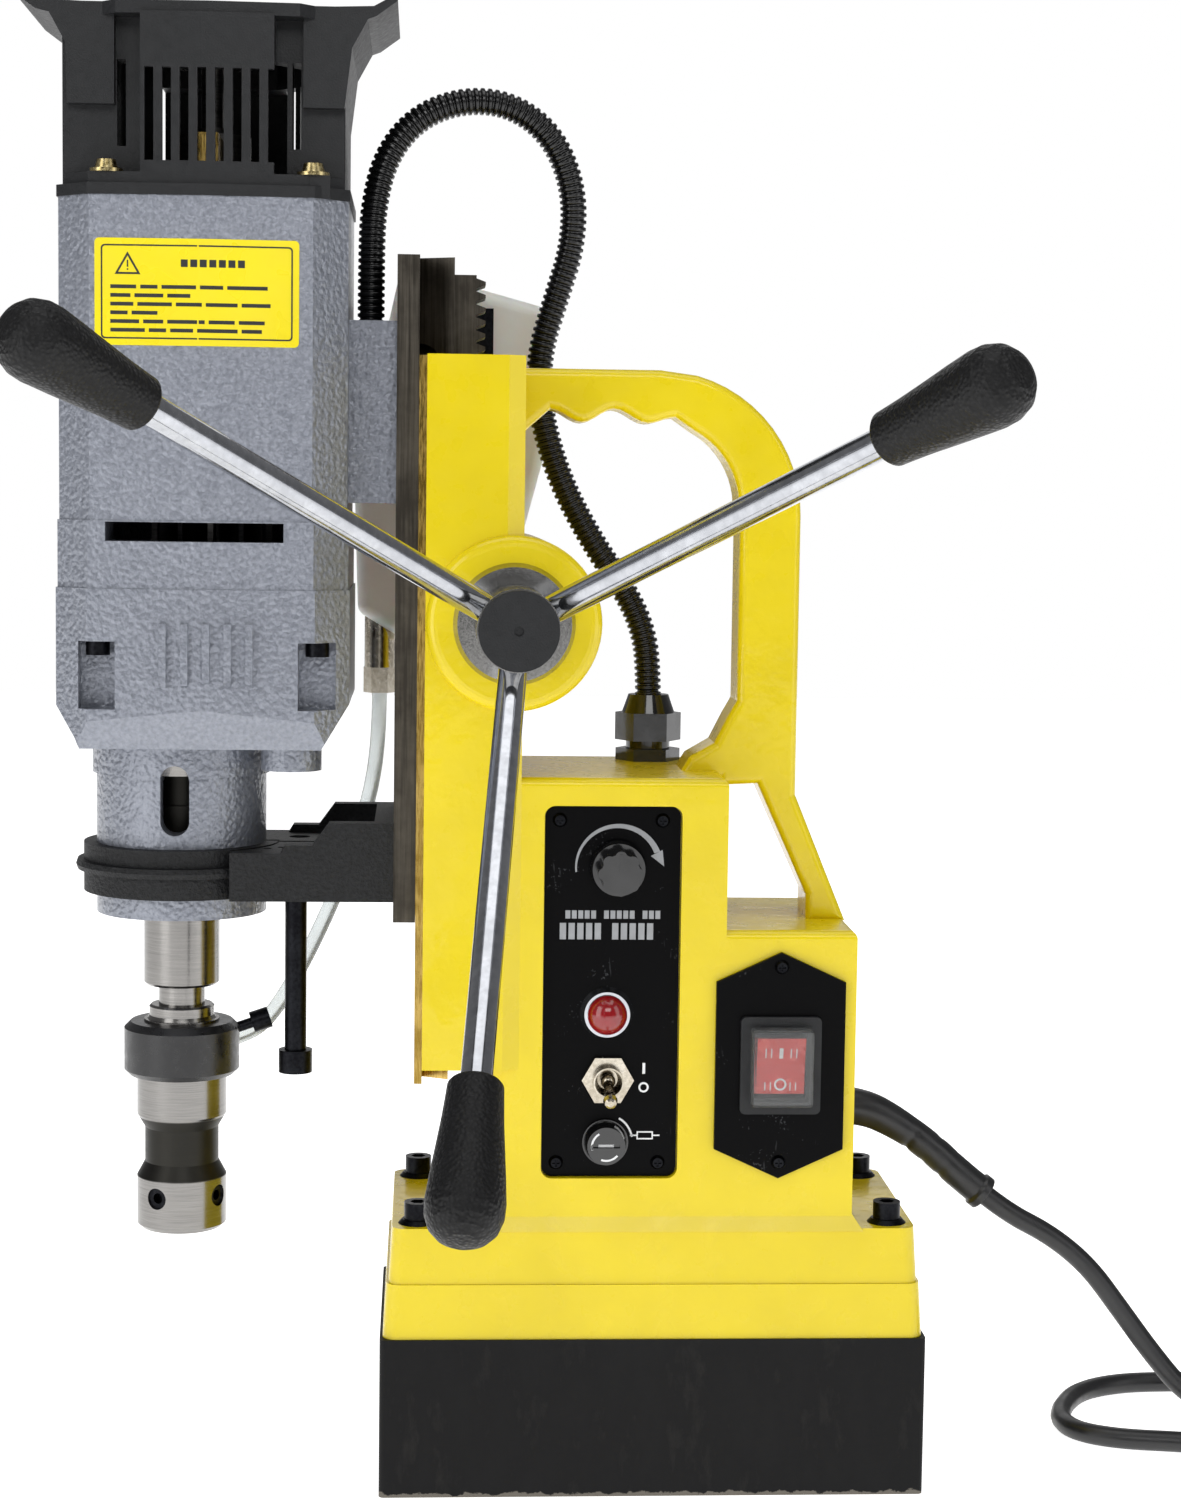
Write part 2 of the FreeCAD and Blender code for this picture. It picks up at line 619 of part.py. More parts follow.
node("speed_knob", fuse(cone(s.knob_skirt, s.knob_skirt - 1.6, 4.2,
                             (s.knob_x, knob_back, s.knob_z), TO_FRONT),
                        rod(s.knob_grip - 2, s.knob_height,
                            (s.knob_x, knob_back, s.knob_z), TO_FRONT),
                        rod(s.pot_shaft, 15, (s.knob_x, panel_back + 6.5, s.knob_z), TO_FRONT),
                        pointer, *lobes))

# indicator lamp
node("lamp_bezel", cut(fuse(cone(s.bezel_size, s.bezel_size - 3, 3,
                                 (s.lamp_x, plate_front, s.lamp_z), TO_FRONT),
                            rod(12, 24, (s.lamp_x, plate_front + 23, s.lamp_z), TO_FRONT)),
                       rod(s.lens_size, 2.4, (s.lamp_x, plate_front - 1.4, s.lamp_z), TO_FRONT)))
lens_dome = common(ball(s.lens_size + 1.2, (s.lamp_x, plate_front - 1.2, s.lamp_z)),
                   rod(s.lens_size, 12, (s.lamp_x, plate_front - 1.4, s.lamp_z), TO_FRONT))
node("lamp_lens", lens_dome)

# toggle switch: case behind, threaded bush, locking nut, and the bat lever
pivot_y = plate_front - 3.5
bush_front = plate_front - 7
nut = pad(hexagon(0, 0, s.toggle_nut), "Y", plate_front - 2.4, plate_front)
bind(nut, "Placement.Base.x", s.toggle_x)
bind(nut, "Placement.Base.z", s.toggle_z)
node("toggle_switch", cut(fuse(box(s.toggle_x - 6.5, s.toggle_x + 6.5, panel_back + 0.1,
                                   panel_back + 18, s.toggle_z - 9, s.toggle_z + 9),
                               rod(s.toggle_bush, 8.9, (s.toggle_x, panel_back + 0.2,
                                                        s.toggle_z), TO_FRONT), nut),
                          cone(7.4, 10, 7.2, (s.toggle_x, bush_front + 7.1, s.toggle_z),
                               TO_FRONT)))
lever_turn = Rotation(Vector(1, 0, 0), 90 + float(s.toggle_tilt))
lever_body = turned([(0, 0), (1.5, 0), (1.7, 1.5), (1.9, s.toggle_length - 6),
                     (2.6, s.toggle_length - 2.5), (2.1, s.toggle_length - 0.6),
                     (1.2, s.toggle_length), (0, s.toggle_length)],
                    (s.toggle_x, pivot_y, s.toggle_z), lever_turn)
node("toggle_lever", fuse(lever_body, ball(s.toggle_ball, (s.toggle_x, pivot_y, s.toggle_z))))

# fuse holder and its bayonet cap
node("fuse_holder", cut(fuse(rod(12, 30, (s.fuse_x, panel_back + 28, s.fuse_z), TO_FRONT),
                             rod(s.fuse_cap_size, 1.6, (s.fuse_x, plate_front, s.fuse_z),
                                 TO_FRONT)),
                        rod(9, 28, (s.fuse_x, plate_front + 22, s.fuse_z), TO_FRONT)))
cap_y = plate_front - 1.7
node("fuse_cap", cut(fuse(cone(s.fuse_cap_size - 1, s.fuse_cap_size - 3, 6.5,
                               (s.fuse_x, cap_y, s.fuse_z), TO_FRONT),
                          rod(8.8, 14, (s.fuse_x, cap_y + 13, s.fuse_z), TO_FRONT)),
                     box(s.fuse_x - 5, s.fuse_x + 5, cap_y - 8, cap_y - 5.3,
                         s.fuse_z - 0.7, s.fuse_z + 0.7)))

# lit rocker under a clear splash cover
half_bw = s.bezel_width / 2
half_bh = s.bezel_height / 2
half_cw = s.cover_width / 2
half_ch = s.cover_height / 2
bezel_front = switch_front - s.bezel_depth
bezel_ring = cut(pad([(s.hex_x - half_bw, s.switch_z - half_bh),
                      (s.hex_x + half_bw, s.switch_z - half_bh),
                      (s.hex_x + half_bw, s.switch_z + half_bh),
                      (s.hex_x - half_bw, s.switch_z + half_bh)],
                     "Y", bezel_front, switch_front, size(2), along("y")),
                 box(s.hex_x - half_cw + 0.1, s.hex_x + half_cw - 0.1,
                     bezel_front - 1, switch_front + 1,
                     s.switch_z - half_ch + 0.1, s.switch_z + half_ch - 0.1))
switch_body = cut(box(s.hex_x - half_cw + 0.1, s.hex_x + half_cw - 0.1, bezel_front + 0.4,
                      -s.box_half + 24, s.switch_z - half_ch + 0.1, s.switch_z + half_ch - 0.1),
                  box(s.hex_x - half_cw + 1.6, s.hex_x + half_cw - 1.6, bezel_front - 1,
                      -s.box_half + 10, s.switch_z - half_ch + 1.6,
                      s.switch_z + half_ch - 1.6))
node("rocker_bezel", fuse(bezel_ring, switch_body))
cover_front = bezel_front - s.cover_depth
cover_out = pad([(s.hex_x - half_cw - 0.6, s.switch_z - half_ch - 0.6),
                 (s.hex_x + half_cw + 0.6, s.switch_z - half_ch - 0.6),
                 (s.hex_x + half_cw + 0.6, s.switch_z + half_ch + 0.6),
                 (s.hex_x - half_cw - 0.6, s.switch_z + half_ch + 0.6)],
                "Y", cover_front, bezel_front, size(1.4), lambda edge: edge.CenterOfMass.y < -0.1)
cover_in = box(s.hex_x - half_cw + 0.4, s.hex_x + half_cw - 0.4, cover_front + 1,
               bezel_front + 1, s.switch_z - half_ch + 0.4, s.switch_z + half_ch - 0.4)
node("rocker_cover", cut(cover_out, cover_in))
rock_y = bezel_front + 1.2
half_rh = s.rocker_height / 2
rocker_side = [(rock_y - 3.4, s.switch_z + half_rh), (rock_y - 0.7, s.switch_z + 0.5),
               (rock_y + 0.3, s.switch_z - half_rh), (rock_y + 3.6, s.switch_z - half_rh + 1.5),
               (rock_y + 4.2, s.switch_z), (rock_y + 0.6, s.switch_z + half_rh - 0.5)]
node("rocker", pad(rocker_side, "X", s.hex_x - s.rocker_width / 2,
                   s.hex_x + s.rocker_width / 2))

# speed-control board on the left wall of the cavity, with its heat sink and choke
board_x = s.box_left + s.box_wall
board_parts = [box(board_x + 6, board_x + 7.6, size(-20), size(30), size(120), size(240)),
               box(board_x, board_x + 6, size(-14), size(-6), size(130), size(138)),
               box(board_x, board_x + 6, size(18), size(26), size(130), size(138)),
               box(board_x, board_x + 6, size(2), size(10), size(225), size(233)),
               box(board_x + 7.6, board_x + 14, size(6), size(24), size(150), size(190))]
board_parts += [rod(11, 8, (board_x + 7.6, size(16), size(205 + 14 * k)), TO_RIGHT)
                for k in range(2)]
node("control_board", fuse(*board_parts))

# ---------------------------------------------------------------- slide, rack and ways

slide_top = s.slide_foot + s.slide_length
dovetail = pad([(plate_right - 1, -s.dovetail_neck), (plate_right, -s.dovetail_neck),
                (groove_bottom, -s.dovetail_tail), (groove_bottom, s.dovetail_tail),
                (plate_right, s.dovetail_neck), (plate_right - 1, s.dovetail_neck)],
               "Z", s.slide_foot, slide_top)
rack_foot = s.slide_foot + s.rack_margin
rack_top = slide_top - s.rack_margin
rack_screw_z = [rack_foot + 14, rack_top - 14]
arm_screw_z = s.arm_foot + s.arm_height / 2
slide_screw_spots = [(size(0), z) for z in rack_screw_z]
arm_screw_spots = [(size(-26), arm_screw_z), (size(26), arm_screw_z)]
motor_screw_spots = [(sy * (s.bracket_half - 9), z) for sy in (-1, 1)
                     for z in (s.bracket_foot + 12, s.bracket_top - 12)]
slide_bores = [rod(5.2, 60, (s.slide_left - 20, y, z), TO_RIGHT) for y, z in slide_screw_spots]
slide_bores += [rod(9.2, 5, (s.slide_left - 1, y, z), TO_RIGHT) for y, z in slide_screw_spots]
slide_bores += [rod(5.2, 16, (s.slide_left - 2, y, z), TO_RIGHT)
                for y, z in arm_screw_spots + motor_screw_spots]
slide_bores += [rod(9.2, 30, (plate_right - 3.2, y, z), TO_RIGHT)
                for y, z in arm_screw_spots + motor_screw_spots]
node("slide", cut(fuse(box(s.slide_left, plate_right, -s.slide_half, s.slide_half,
                           s.slide_foot, slide_top), dovetail), *slide_bores))

gib = []
for sy in (-1, 1):
    inner_neck = s.dovetail_neck + s.run_gap
    inner_tail = s.dovetail_tail + s.run_gap
    lip = plate_right + s.run_gap
    at_lip = slope * s.run_gap
    at_face = (s.column_face - plate_right) * slope
    points = [(lip, sy * (s.slide_half + 1)), (s.column_face, sy * (s.slide_half + 1)),
              (s.column_face, sy * (neck_gap + at_face)), (groove_bottom, sy * tail_gap),
              (groove_bottom, sy * inner_tail), (lip, sy * (inner_neck + at_lip))]
    gib.append(pad(points, "Z", s.gib_foot, s.column_top))
node("gib_strips", group(*gib))


def number(alias):
    return float(getattr(s, alias))


def rack_shape():
    """Toothed bar: straight 20 degree flanks, teeth towards +X, one tooth at the pinion."""
    m = number("gear_module")
    pitch = math.pi * m
    back = float(groove_bottom)
    tip = float(rack_tip)
    root = tip - 2.25 * m
    mid = tip - m
    lean = math.tan(math.radians(20))
    z0, z1 = float(rack_foot), float(rack_top)
    centre = number("feed_z")
    first = math.ceil((z0 - centre) / pitch + 0.6)
    last = math.floor((z1 - centre) / pitch - 0.6)
    points = [Vector(back, 0, z0), Vector(root, 0, z0)]
    thick = pitch / 4 - 0.04
    for k in range(first, last + 1):
        z = centre + k * pitch
        for x, away in ((root, thick + (mid - root) * lean), (tip, thick - (tip - mid) * lean)):
            points.append(Vector(x, 0, z - away))
        for x, away in ((tip, thick - (tip - mid) * lean), (root, thick + (mid - root) * lean)):
            points.append(Vector(x, 0, z + away))
    points += [Vector(root, 0, z1), Vector(back, 0, z1), points[0]]
    face = Part.Face(Part.makePolygon(points))
    face.translate(Vector(0, -number("rack_half"), 0))
    return face.extrude(Vector(0, 2 * number("rack_half"), 0))


rack = shape_piece(rack_shape())
node("rack", cut(rack, *[rod(5, 9, (groove_bottom - 1, y, z), TO_RIGHT)
                         for y, z in slide_screw_spots]))

screws = []
for y, z in slide_screw_spots:
    screws.append(fuse(rod(5, 24.4, (s.slide_left + 4.1, y, z), TO_RIGHT),
                       rod(8.6, 3.8, (s.slide_left + 0.2, y, z), TO_RIGHT)))
for y, z in arm_screw_spots + motor_screw_spots:
    screws.append(fuse(rod(5, 14.8, (plate_right - 18, y, z), TO_RIGHT),
                       rod(8.6, 2.9, (plate_right - 3.2, y, z), TO_RIGHT)))
node("slide_screws", group(*screws))

# ---------------------------------------------------------------- feed shaft and spokes


def involute_gear(module, teeth, bore, width, tooth_at, extra=0.0, slack=0.05):
    """Spur gear about Z, 20 degree teeth; tooth_at is the angle of one tooth's centre."""
    pitch_r = module * teeth / 2
    base_r = pitch_r * math.cos(math.radians(20))
    tip_r = pitch_r + module
    root_r = pitch_r - 1.22 * module
    inv20 = math.tan(math.radians(20)) - math.radians(20)
    half_at_pitch = (math.pi * module / 2 - slack) / 2 / pitch_r
    flank = []
    start_r = max(base_r, root_r)
    for k in range(5):
        r = start_r + (tip_r - start_r) * k / 4
        press = math.acos(min(1.0, base_r / r))
        half = half_at_pitch + inv20 - (math.tan(press) - press)
        flank.append((r, half))
    points = []
    step = 2 * math.pi / teeth
    for k in range(teeth):
        a = math.radians(tooth_at) + k * step
        points.append((root_r, a - flank[0][1] * 1.02))
        points += [(r, a - half) for r, half in flank]
        points += [(r, a + half) for r, half in reversed(flank)]
        points.append((root_r, a + flank[0][1] * 1.02))
    corners = [Vector(r * math.cos(a), r * math.sin(a), 0) for r, a in points]
    face = Part.Face(Part.makePolygon(corners + [corners[0]]))
    gear = face.extrude(Vector(0, 0, width))
    if bore:
        gear = gear.cut(Part.makeCylinder(bore / 2, width + 2, Vector(0, 0, -1)))
    return gear


pinion_width = 2 * number("rack_half") - 1
pinion = shape_piece(involute_gear(number("gear_module"), int(number("pinion_teeth")),
                                   0, pinion_width,
                                   180 + 180 / number("pinion_teeth")))
pinion.Placement = Placement(Vector(float(feed_x), pinion_width / 2, number("feed_z")), TO_FRONT)
bush_back = -s.boss_front
hub_back = s.boss_front - s.bush_flange_thick - 1
cap_back = s.hub_front + s.hub_cap_thick
hub_length = hub_back - cap_back
spoke_ways = ((s.spoke_right, s.tilt_right), (s.spoke_left, s.tilt_left),
              (s.spoke_down, s.tilt_down))


def spoke_turn(angle, lean):
    """Turn that lays +Z along a spoke: `angle` round the hub, leaning to the front."""
    a = math.radians(float(angle))
    tilt = math.radians(float(lean))
    way = Vector(math.cos(a) * math.cos(tilt), -math.sin(tilt), math.sin(a) * math.cos(tilt))
    return Rotation(Vector(0, 0, 1), way), way


hub_centre = (feed_x, s.spoke_y, s.feed_z)
spoke_holes = []
spokes = []
grips = []
for angle, lean in spoke_ways:
    turn, way = spoke_turn(angle, lean)

    def on_spoke(distance):
        return [base + size(distance) * amount for base, amount in zip(hub_centre, way)]

    spoke_holes.append(rod(s.spoke_size, 40, on_spoke(s.rod_start), turn))
    spokes.append(rod(s.spoke_size, s.grip_start + s.grip_length - 20 - s.rod_start,
                      on_spoke(s.rod_start), turn))
    dome = s.grip_length
    grip = turned([(0, 0), (s.grip_small / 2 - 0.6, 0), (s.grip_small / 2, 0.8),
                   (s.grip_small / 2 + 0.9, dome * 0.25), (s.grip_big / 2 - 0.8, dome * 0.58),
                   (s.grip_big / 2, dome * 0.75), (s.grip_big / 2 - 0.2, dome * 0.83),
                   (s.grip_big / 2 - 1.6, dome * 0.905), (s.grip_big / 2 - 4, dome * 0.955),
                   (s.grip_big / 2 - 7.4, dome * 0.99), (0, dome)],
                  on_spoke(s.grip_start), turn)
    grips.append(cut(grip, rod(s.spoke_size, s.grip_length - 20 + 1,
                               on_spoke(s.grip_start - 1), turn)))

shaft_back = bush_back + 4.6
feed_solid = fuse(pinion,
                  rod(s.feed_shaft_size, shaft_back - hub_back + 2,
                      (feed_x, shaft_back, s.feed_z), TO_FRONT),
                  rod(s.hub_size, hub_length, (feed_x, hub_back, s.feed_z), TO_FRONT))
node("feed_shaft", cut(feed_solid, *spoke_holes))
node("hub_cap", cut(rod(s.hub_size - 1, s.hub_cap_thick, (feed_x, cap_back, s.feed_z), TO_FRONT),
                    rod(3.4, 1.4, (feed_x, s.hub_front + 1, s.feed_z), TO_FRONT)))
node("spokes", group(*spokes))
node("grips", group(*grips))
sleeve_end = s.rack_half + 1
bushes = []
front_bush = fuse(cone(s.bush_flange, s.bush_flange - 3, s.bush_flange_thick,
                       (feed_x, s.boss_front, s.feed_z), TO_FRONT),
                  rod(bush_sleeve, -s.boss_front - sleeve_end,
                      (feed_x, -sleeve_end, s.feed_z), TO_FRONT))
rear_bush = fuse(rod(s.bush_flange, s.bush_flange_thick, (feed_x, bush_back, s.feed_z), TO_BACK),
                 rod(bush_sleeve, bush_back - sleeve_end + 1,
                     (feed_x, bush_back + 1, s.feed_z), TO_FRONT))
for bush in (front_bush, rear_bush):
    bushes.append(cut(bush, rod(s.feed_shaft_size + s.run_gap, 200,
                                (feed_x, size(100), s.feed_z), TO_FRONT)))
node("feed_bushes", group(*bushes))

# ---------------------------------------------------------------- motor

motor_x = s.spindle_x + s.motor_shift
motor_mid = (s.motor_left + s.motor_right) / 2


def ring_outline(left, right, half, bevel, front_bow=2.0):
    """Plan outline of a motor casting: flat sides, bevelled corners, front and back bowed."""
    middle = (size(left) + right) / 2
    return [(left, -half + bevel), (size(left) + bevel, -half), (middle, -half - front_bow),
            (size(right) - bevel, -half), (right, -half + bevel), (right, half - bevel),
            (size(right) - bevel, half), (middle, half + front_bow),
            (size(left) + bevel, half), (left, half - bevel)]


def casting(z0, z1, grow=0.0, inset=0.0):
    return pad(ring_outline(s.motor_left - grow + inset, s.motor_right + grow - inset,
                            s.motor_half + grow - inset, s.motor_bevel), "Z", z0, z1)


bracket = box(s.bracket_left, s.bracket_right, -s.bracket_half, s.bracket_half,
              s.bracket_foot, s.bracket_top)
housing_bore = rod(s.stator_size + 0.2, s.motor_top - s.motor_foot + 2,
                   (motor_x, size(0), s.motor_foot - 1))
bracket_bores = [rod(5, 12, (s.bracket_right - 11, y, z), TO_RIGHT)
                 for y, z in motor_screw_spots]
cap_screw_spots = [(x, y) for x in (s.motor_left + 17.5, s.motor_right - 12.3)
                   for y in (-s.motor_half + 5.5, s.motor_half - 5.5)]
node("motor_housing", cut(fuse(casting(s.motor_foot, s.motor_top), bracket),
                          housing_bore, *bracket_bores,
                          *[rod(5, 12, (x, y, s.motor_top - 11)) for x, y in cap_screw_spots]))

fan_bore = rod(s.fan_size + 4, s.motor_foot - s.fan_foot - 5, (motor_x, size(0), s.fan_foot + 6))
vent = box(s.vent_left, s.vent_right, -s.motor_half - 6, -s.motor_half + 30,
           s.vent_foot, s.motor_foot - 0.5)
# the rear vent is blind, so that the air is drawn from the front
vent_rear = box(s.vent_left, s.vent_right, s.fan_size / 2 + 5.5, s.motor_half + 6,
                s.vent_foot, s.motor_foot - 0.5)
node("fan_housing", cut(casting(s.fan_foot, s.motor_foot, 0.6), fan_bore, vent, vent_rear,
                        rod(22.1, 12, (motor_x, size(0), s.fan_foot - 1))))

gear_block = casting(s.gear_foot, s.fan_foot, 1.2)
trim_left = pad([(s.motor_left - 5, s.gear_foot - 1), (s.motor_left + 8.2, s.gear_foot - 1),
                 (s.motor_left + 6.2, s.gear_foot + 3.8), (s.motor_left - 1.6, s.gear_foot + 15.6),
                 (s.motor_left - 5, s.gear_foot + 20)], "Y", size(-80), size(80))
trim_right = pad([(s.motor_right + 8, s.gear_foot - 1), (s.motor_right + 8, s.gear_foot + 28),
                  (s.motor_right + 4.8, s.gear_foot + 22), (s.motor_right - 8.8, s.gear_foot - 0.3),
                  (s.motor_right - 8.8, s.gear_foot - 1)], "Y", size(-80), size(80))
trim_front = [pad([(sy * (s.motor_half + 8), s.gear_foot - 1), (sy * (s.motor_half - 4), s.gear_foot - 1),
                   (sy * (s.motor_half + 4), s.gear_foot + 16), (sy * (s.motor_half + 8), s.gear_foot + 16)],
                  "X", size(-240), size(-90)) for sy in (-1, 1)]
bars = [box(motor_mid - 14.5 + 7.6 * k, motor_mid - 14.5 + 7.6 * k + 2.6, -s.motor_half - 4.6,
            -s.motor_half, s.gear_foot + 24 - abs(k - 2) * 0.8, s.gear_foot + 45)
        for k in range(5)]
gear_screw_spots = [(s.motor_left + 14.3, -1), (s.motor_right - 10.1, -1),
                    (s.motor_left + 14.3, 1), (s.motor_right - 10.1, 1)]
gear_screw_z = s.gear_foot + 38.4
pockets = [box(x - 6.6, x + 6.6, sy * s.motor_half - 9.4, sy * s.motor_half + 9.4,
               gear_screw_z - 24, gear_screw_z) for x, sy in gear_screw_spots]
case_wall = s.motor_wall
cavity_foot = s.gear_foot + case_wall + 3
gear_cavity = fuse(pad(ring_outline(s.motor_left + 7.5, s.motor_right - 11, s.motor_half - 11,
                                    s.motor_bevel, 0), "Z", cavity_foot, s.fan_foot - 6),
                   pad(ring_outline(s.motor_left + 7.5, s.motor_right - 2.2, s.motor_half - 11,
                                    s.motor_bevel, 0), "Z", s.gear_foot + 24, s.fan_foot - 6))
small_boss = rod(22, 9, (size(-133.8), size(-24), s.gear_foot - 9))
node("gear_housing", cut(fuse(cut(gear_block, trim_left, trim_right, *trim_front), small_boss,
                              *bars),
                         gear_cavity, *pockets,
                         rod(47.1, 20, (s.spindle_x, size(0), s.gear_foot - 2)),
                         rod(22.1, 12, (motor_x, size(0), s.fan_foot - 9)),
                         rod(14.1, 6, (s.layshaft_x, size(0), s.gear_foot + 1)),
                         *[rod(5, 60, (x, sy * (s.motor_half - 5), gear_screw_z - 1))
                           for x, sy in gear_screw_spots]))
gear_screws = []
for x, sy in gear_screw_spots:
    y = sy * (s.motor_half - 5)
    gear_screws.append(cut(fuse(rod(8.5, 5, (x, y, gear_screw_z - 5)),
                                rod(5, 18, (x, y, gear_screw_z - 1))),
                           rod(4, 3, (x, y, gear_screw_z - 6))))
node("gear_screws", group(*gear_screws))

# top cap: ribbed black shell with grip ears
cap_foot = s.motor_top
front_face = -s.motor_half - 2
shell = fuse(casting(cap_foot, cap_foot + s.cap_skirt, 0.6),
             casting(cap_foot + s.cap_skirt, s.cap_top, -1.4))
valleys = [box(x0, x1, y0, y1, cap_foot + s.cap_skirt + 4, s.cap_top + 1)
           for x0, x1 in ((s.motor_left - 3, s.motor_left + 29.7),
                          (s.motor_right - 25.8, s.motor_right + 3))
           for y0, y1 in ((-s.motor_half - 8, -s.motor_half + 13),
                          (s.motor_half - 13, s.motor_half + 8))]
hollow = fuse(casting(cap_foot - 1, s.cap_top - s.cap_wall, -17),
              box(s.slot_left - 2, s.slot_left + s.slot_pitch * s.slot_count,
                  -s.motor_half + 3, s.motor_half - 3, s.slot_foot - 4, s.slot_top + 4))
# open slots in the front, and blind grooves to match them on the back
slots = [box(s.slot_left + s.slot_pitch * k, s.slot_left + s.slot_pitch * k + s.slot_width,
             y0, y1, s.slot_foot, s.slot_top)
         for k in range(int(float(s.slot_count)))
         for y0, y1 in ((-s.motor_half - 9, size(0)), (s.motor_half - 1, s.motor_half + 9))]
side_slots = [box(x, x + s.slot_width, -s.motor_half - 9, s.motor_half + 9,
                  s.slot_foot + 6, s.slot_top + 4)
              for x in (s.motor_left + 20.5, s.motor_right - 20)]


def ear(tip, root_x, gusset_x, hand):
    """Grip ear: a thin lip that curls up to its tip, on a gusset down the side of the cap."""
    root_z = s.cap_top + 4
    return pad([(tip, s.ear_tip), (tip + hand * 8, s.ear_tip - 4.4),
                (root_x - hand * 3, root_z), (root_x + hand * 8, root_z),
                (root_x + hand * 8, cap_foot + 32), (gusset_x, cap_foot + 32),
                (root_x - hand * 9, root_z - 14), (root_x - hand * 14.5, root_z - 4),
                (tip + hand * 7, s.ear_tip - 4.4 - s.ear_thick),
                (tip - hand * 0.4, s.ear_tip - s.ear_thick + 1)], "Y",
               -s.motor_half + 8, s.motor_half - 8)


left_ear = ear(s.ear_left, s.motor_left + 12, s.motor_left + 3.6, 1)
right_ear = ear(s.ear_right, s.motor_right - 8, s.motor_right - 1.6, -1)
top_plate = pad(ring_outline(s.motor_left + 9, s.motor_right - 5, s.motor_half - 3,
                             s.motor_bevel, 1.5), "Z", s.cap_top - 0.5, s.cap_top + 4)
cap_holes = [rod(5, 20, (x, y, cap_foot - 1)) for x, y in cap_screw_spots]
cap_posts = [box(x - 6, x + 6, y - 4, y + 4, cap_foot, cap_foot + 8) for x, y in cap_screw_spots]
cap_solid = cut(fuse(cut(shell, *valleys), left_ear, right_ear, top_plate), hollow, *slots,
                *side_slots)
bearing_seat = rod(30, 14, (motor_x, size(0), s.cap_top - 12))
node("motor_cap", cut(fuse(cap_solid, bearing_seat, *cap_posts), *cap_holes,
                      rod(22.1, 7.2, (motor_x, size(0), s.cap_top - 13))))
cap_screws = []
for x, y in cap_screw_spots:
    z = cap_foot + 8
    cap_screws.append(cut(fuse(rod(11.5, 1.2, (x, y, z)),
                               cone(8.4, 6.6, 3.2, (x, y, z + 1.2)),
                               rod(4.9, 16, (x, y, z - 15.5))),
                          box(x - 2.4, x + 2.4, y - 0.45, y + 0.45, z + 3, z + 6),
                          box(x - 0.45, x + 0.45, y - 2.4, y + 2.4, z + 3, z + 6)))
node("cap_screws", group(*cap_screws))

# stator, brushes and bearings
stator_top = s.stator_foot + s.stator_length
stator_ring = rod(s.stator_size, s.stator_length, (motor_x, size(0), s.stator_foot))
windings = [rod(s.stator_size - 12, 12, (motor_x, size(0), z))
            for z in (s.stator_foot - 12, stator_top)]
node("stator", cut(fuse(stator_ring, *windings),
                   rod(s.core_size + 1.2, 120, (motor_x, size(0), s.stator_foot - 20))))
comm_z = s.slot_foot + 4
brushes = []
for sy in (-1, 1):
    y0, y1 = (-s.motor_half + 9, size(-14.2)) if sy < 0 else (size(14.2), s.motor_half - 9)
    brushes.append(box(motor_x - 5, motor_x + 5, y0, y1, comm_z - 7, comm_z + 7))
node("brush_holders", group(*brushes))


def bearing(outer, bore, width, x, z):
    return cut(rod(outer, width, (x, size(0), z)), rod(bore, width + 2, (x, size(0), z - 1)))


node("bearings", group(bearing(22, 8 + s.run_gap, 7, motor_x, s.cap_top - 12.9),
                       bearing(22, 8 + s.run_gap, 7, motor_x, s.fan_foot - 3.5),
                       bearing(14, 6 + s.run_gap, 4, s.layshaft_x, s.gear_foot + 2),
                       bearing(47, 25 + s.run_gap, 12, s.spindle_x, s.neck_step),
                       bearing(47, s.spindle_size + s.run_gap, 12, s.spindle_x,
                               s.neck_foot + 3)))

# ---------------------------------------------------------------- spindle side

neck = fuse(rod(s.neck_size, s.neck_step - s.neck_foot, (s.spindle_x, size(0), s.neck_foot)),
            rod(s.neck_top, s.gear_foot - s.neck_step, (s.spindle_x, size(0), s.neck_step)))
slot_half = s.neck_slot / 2
key_slot = fuse(box(s.spindle_x - slot_half, s.spindle_x + slot_half, size(-40), size(0),
                    s.neck_slot_foot + slot_half, s.neck_slot_top - slot_half),
                rod(s.neck_slot, 40, (s.spindle_x, size(0), s.neck_slot_foot + slot_half),
                    TO_FRONT),
                rod(s.neck_slot, 40, (s.spindle_x, size(0), s.neck_slot_top - slot_half),
                    TO_FRONT))
sleeve_bore = [rod(40, 34, (s.spindle_x, size(0), s.neck_step - 36)),
               rod(s.spindle_size + 1, 80, (s.spindle_x, size(0), s.neck_foot - 2)),
               rod(47, 14, (s.spindle_x, size(0), s.neck_foot + 3 - 0.01)),
               rod(47, 20, (s.spindle_x, size(0), s.neck_step - 0.01))]
node("spindle_sleeve", cut(neck, key_slot, *sleeve_bore))

arm_top = s.arm_foot + s.arm_height
arm_body = fuse(rod(s.arm_ring, s.arm_height, (s.spindle_x, size(0), s.arm_foot)),
                turned([(s.arm_ring / 2 - 2, 0), (s.arm_rib / 2 - 0.6, 0.4),
                        (s.arm_rib / 2, 2.2), (s.arm_rib / 2 - 0.6, 4),
                        (s.arm_ring / 2 - 2, 4.4)], (s.spindle_x, size(0), s.arm_foot + 7.6)),
                box(s.spindle_x + 20, s.slide_left, -s.arm_half, s.arm_half,
                    s.arm_foot, arm_top - 0.4))
wall_x = s.slide_left - 23.2
walls = [pad([(s.spindle_x + 36, arm_top - 4), (s.slide_left, arm_top - 4),
              (s.slide_left, s.arm_top), (wall_x, s.arm_top), (wall_x - 6, s.arm_low),
              (s.spindle_x + 40, s.arm_low)], "Y", y0, y1)
         for y0, y1 in ((-s.arm_half, -s.arm_half + 7), (s.arm_half - 7, s.arm_half))]
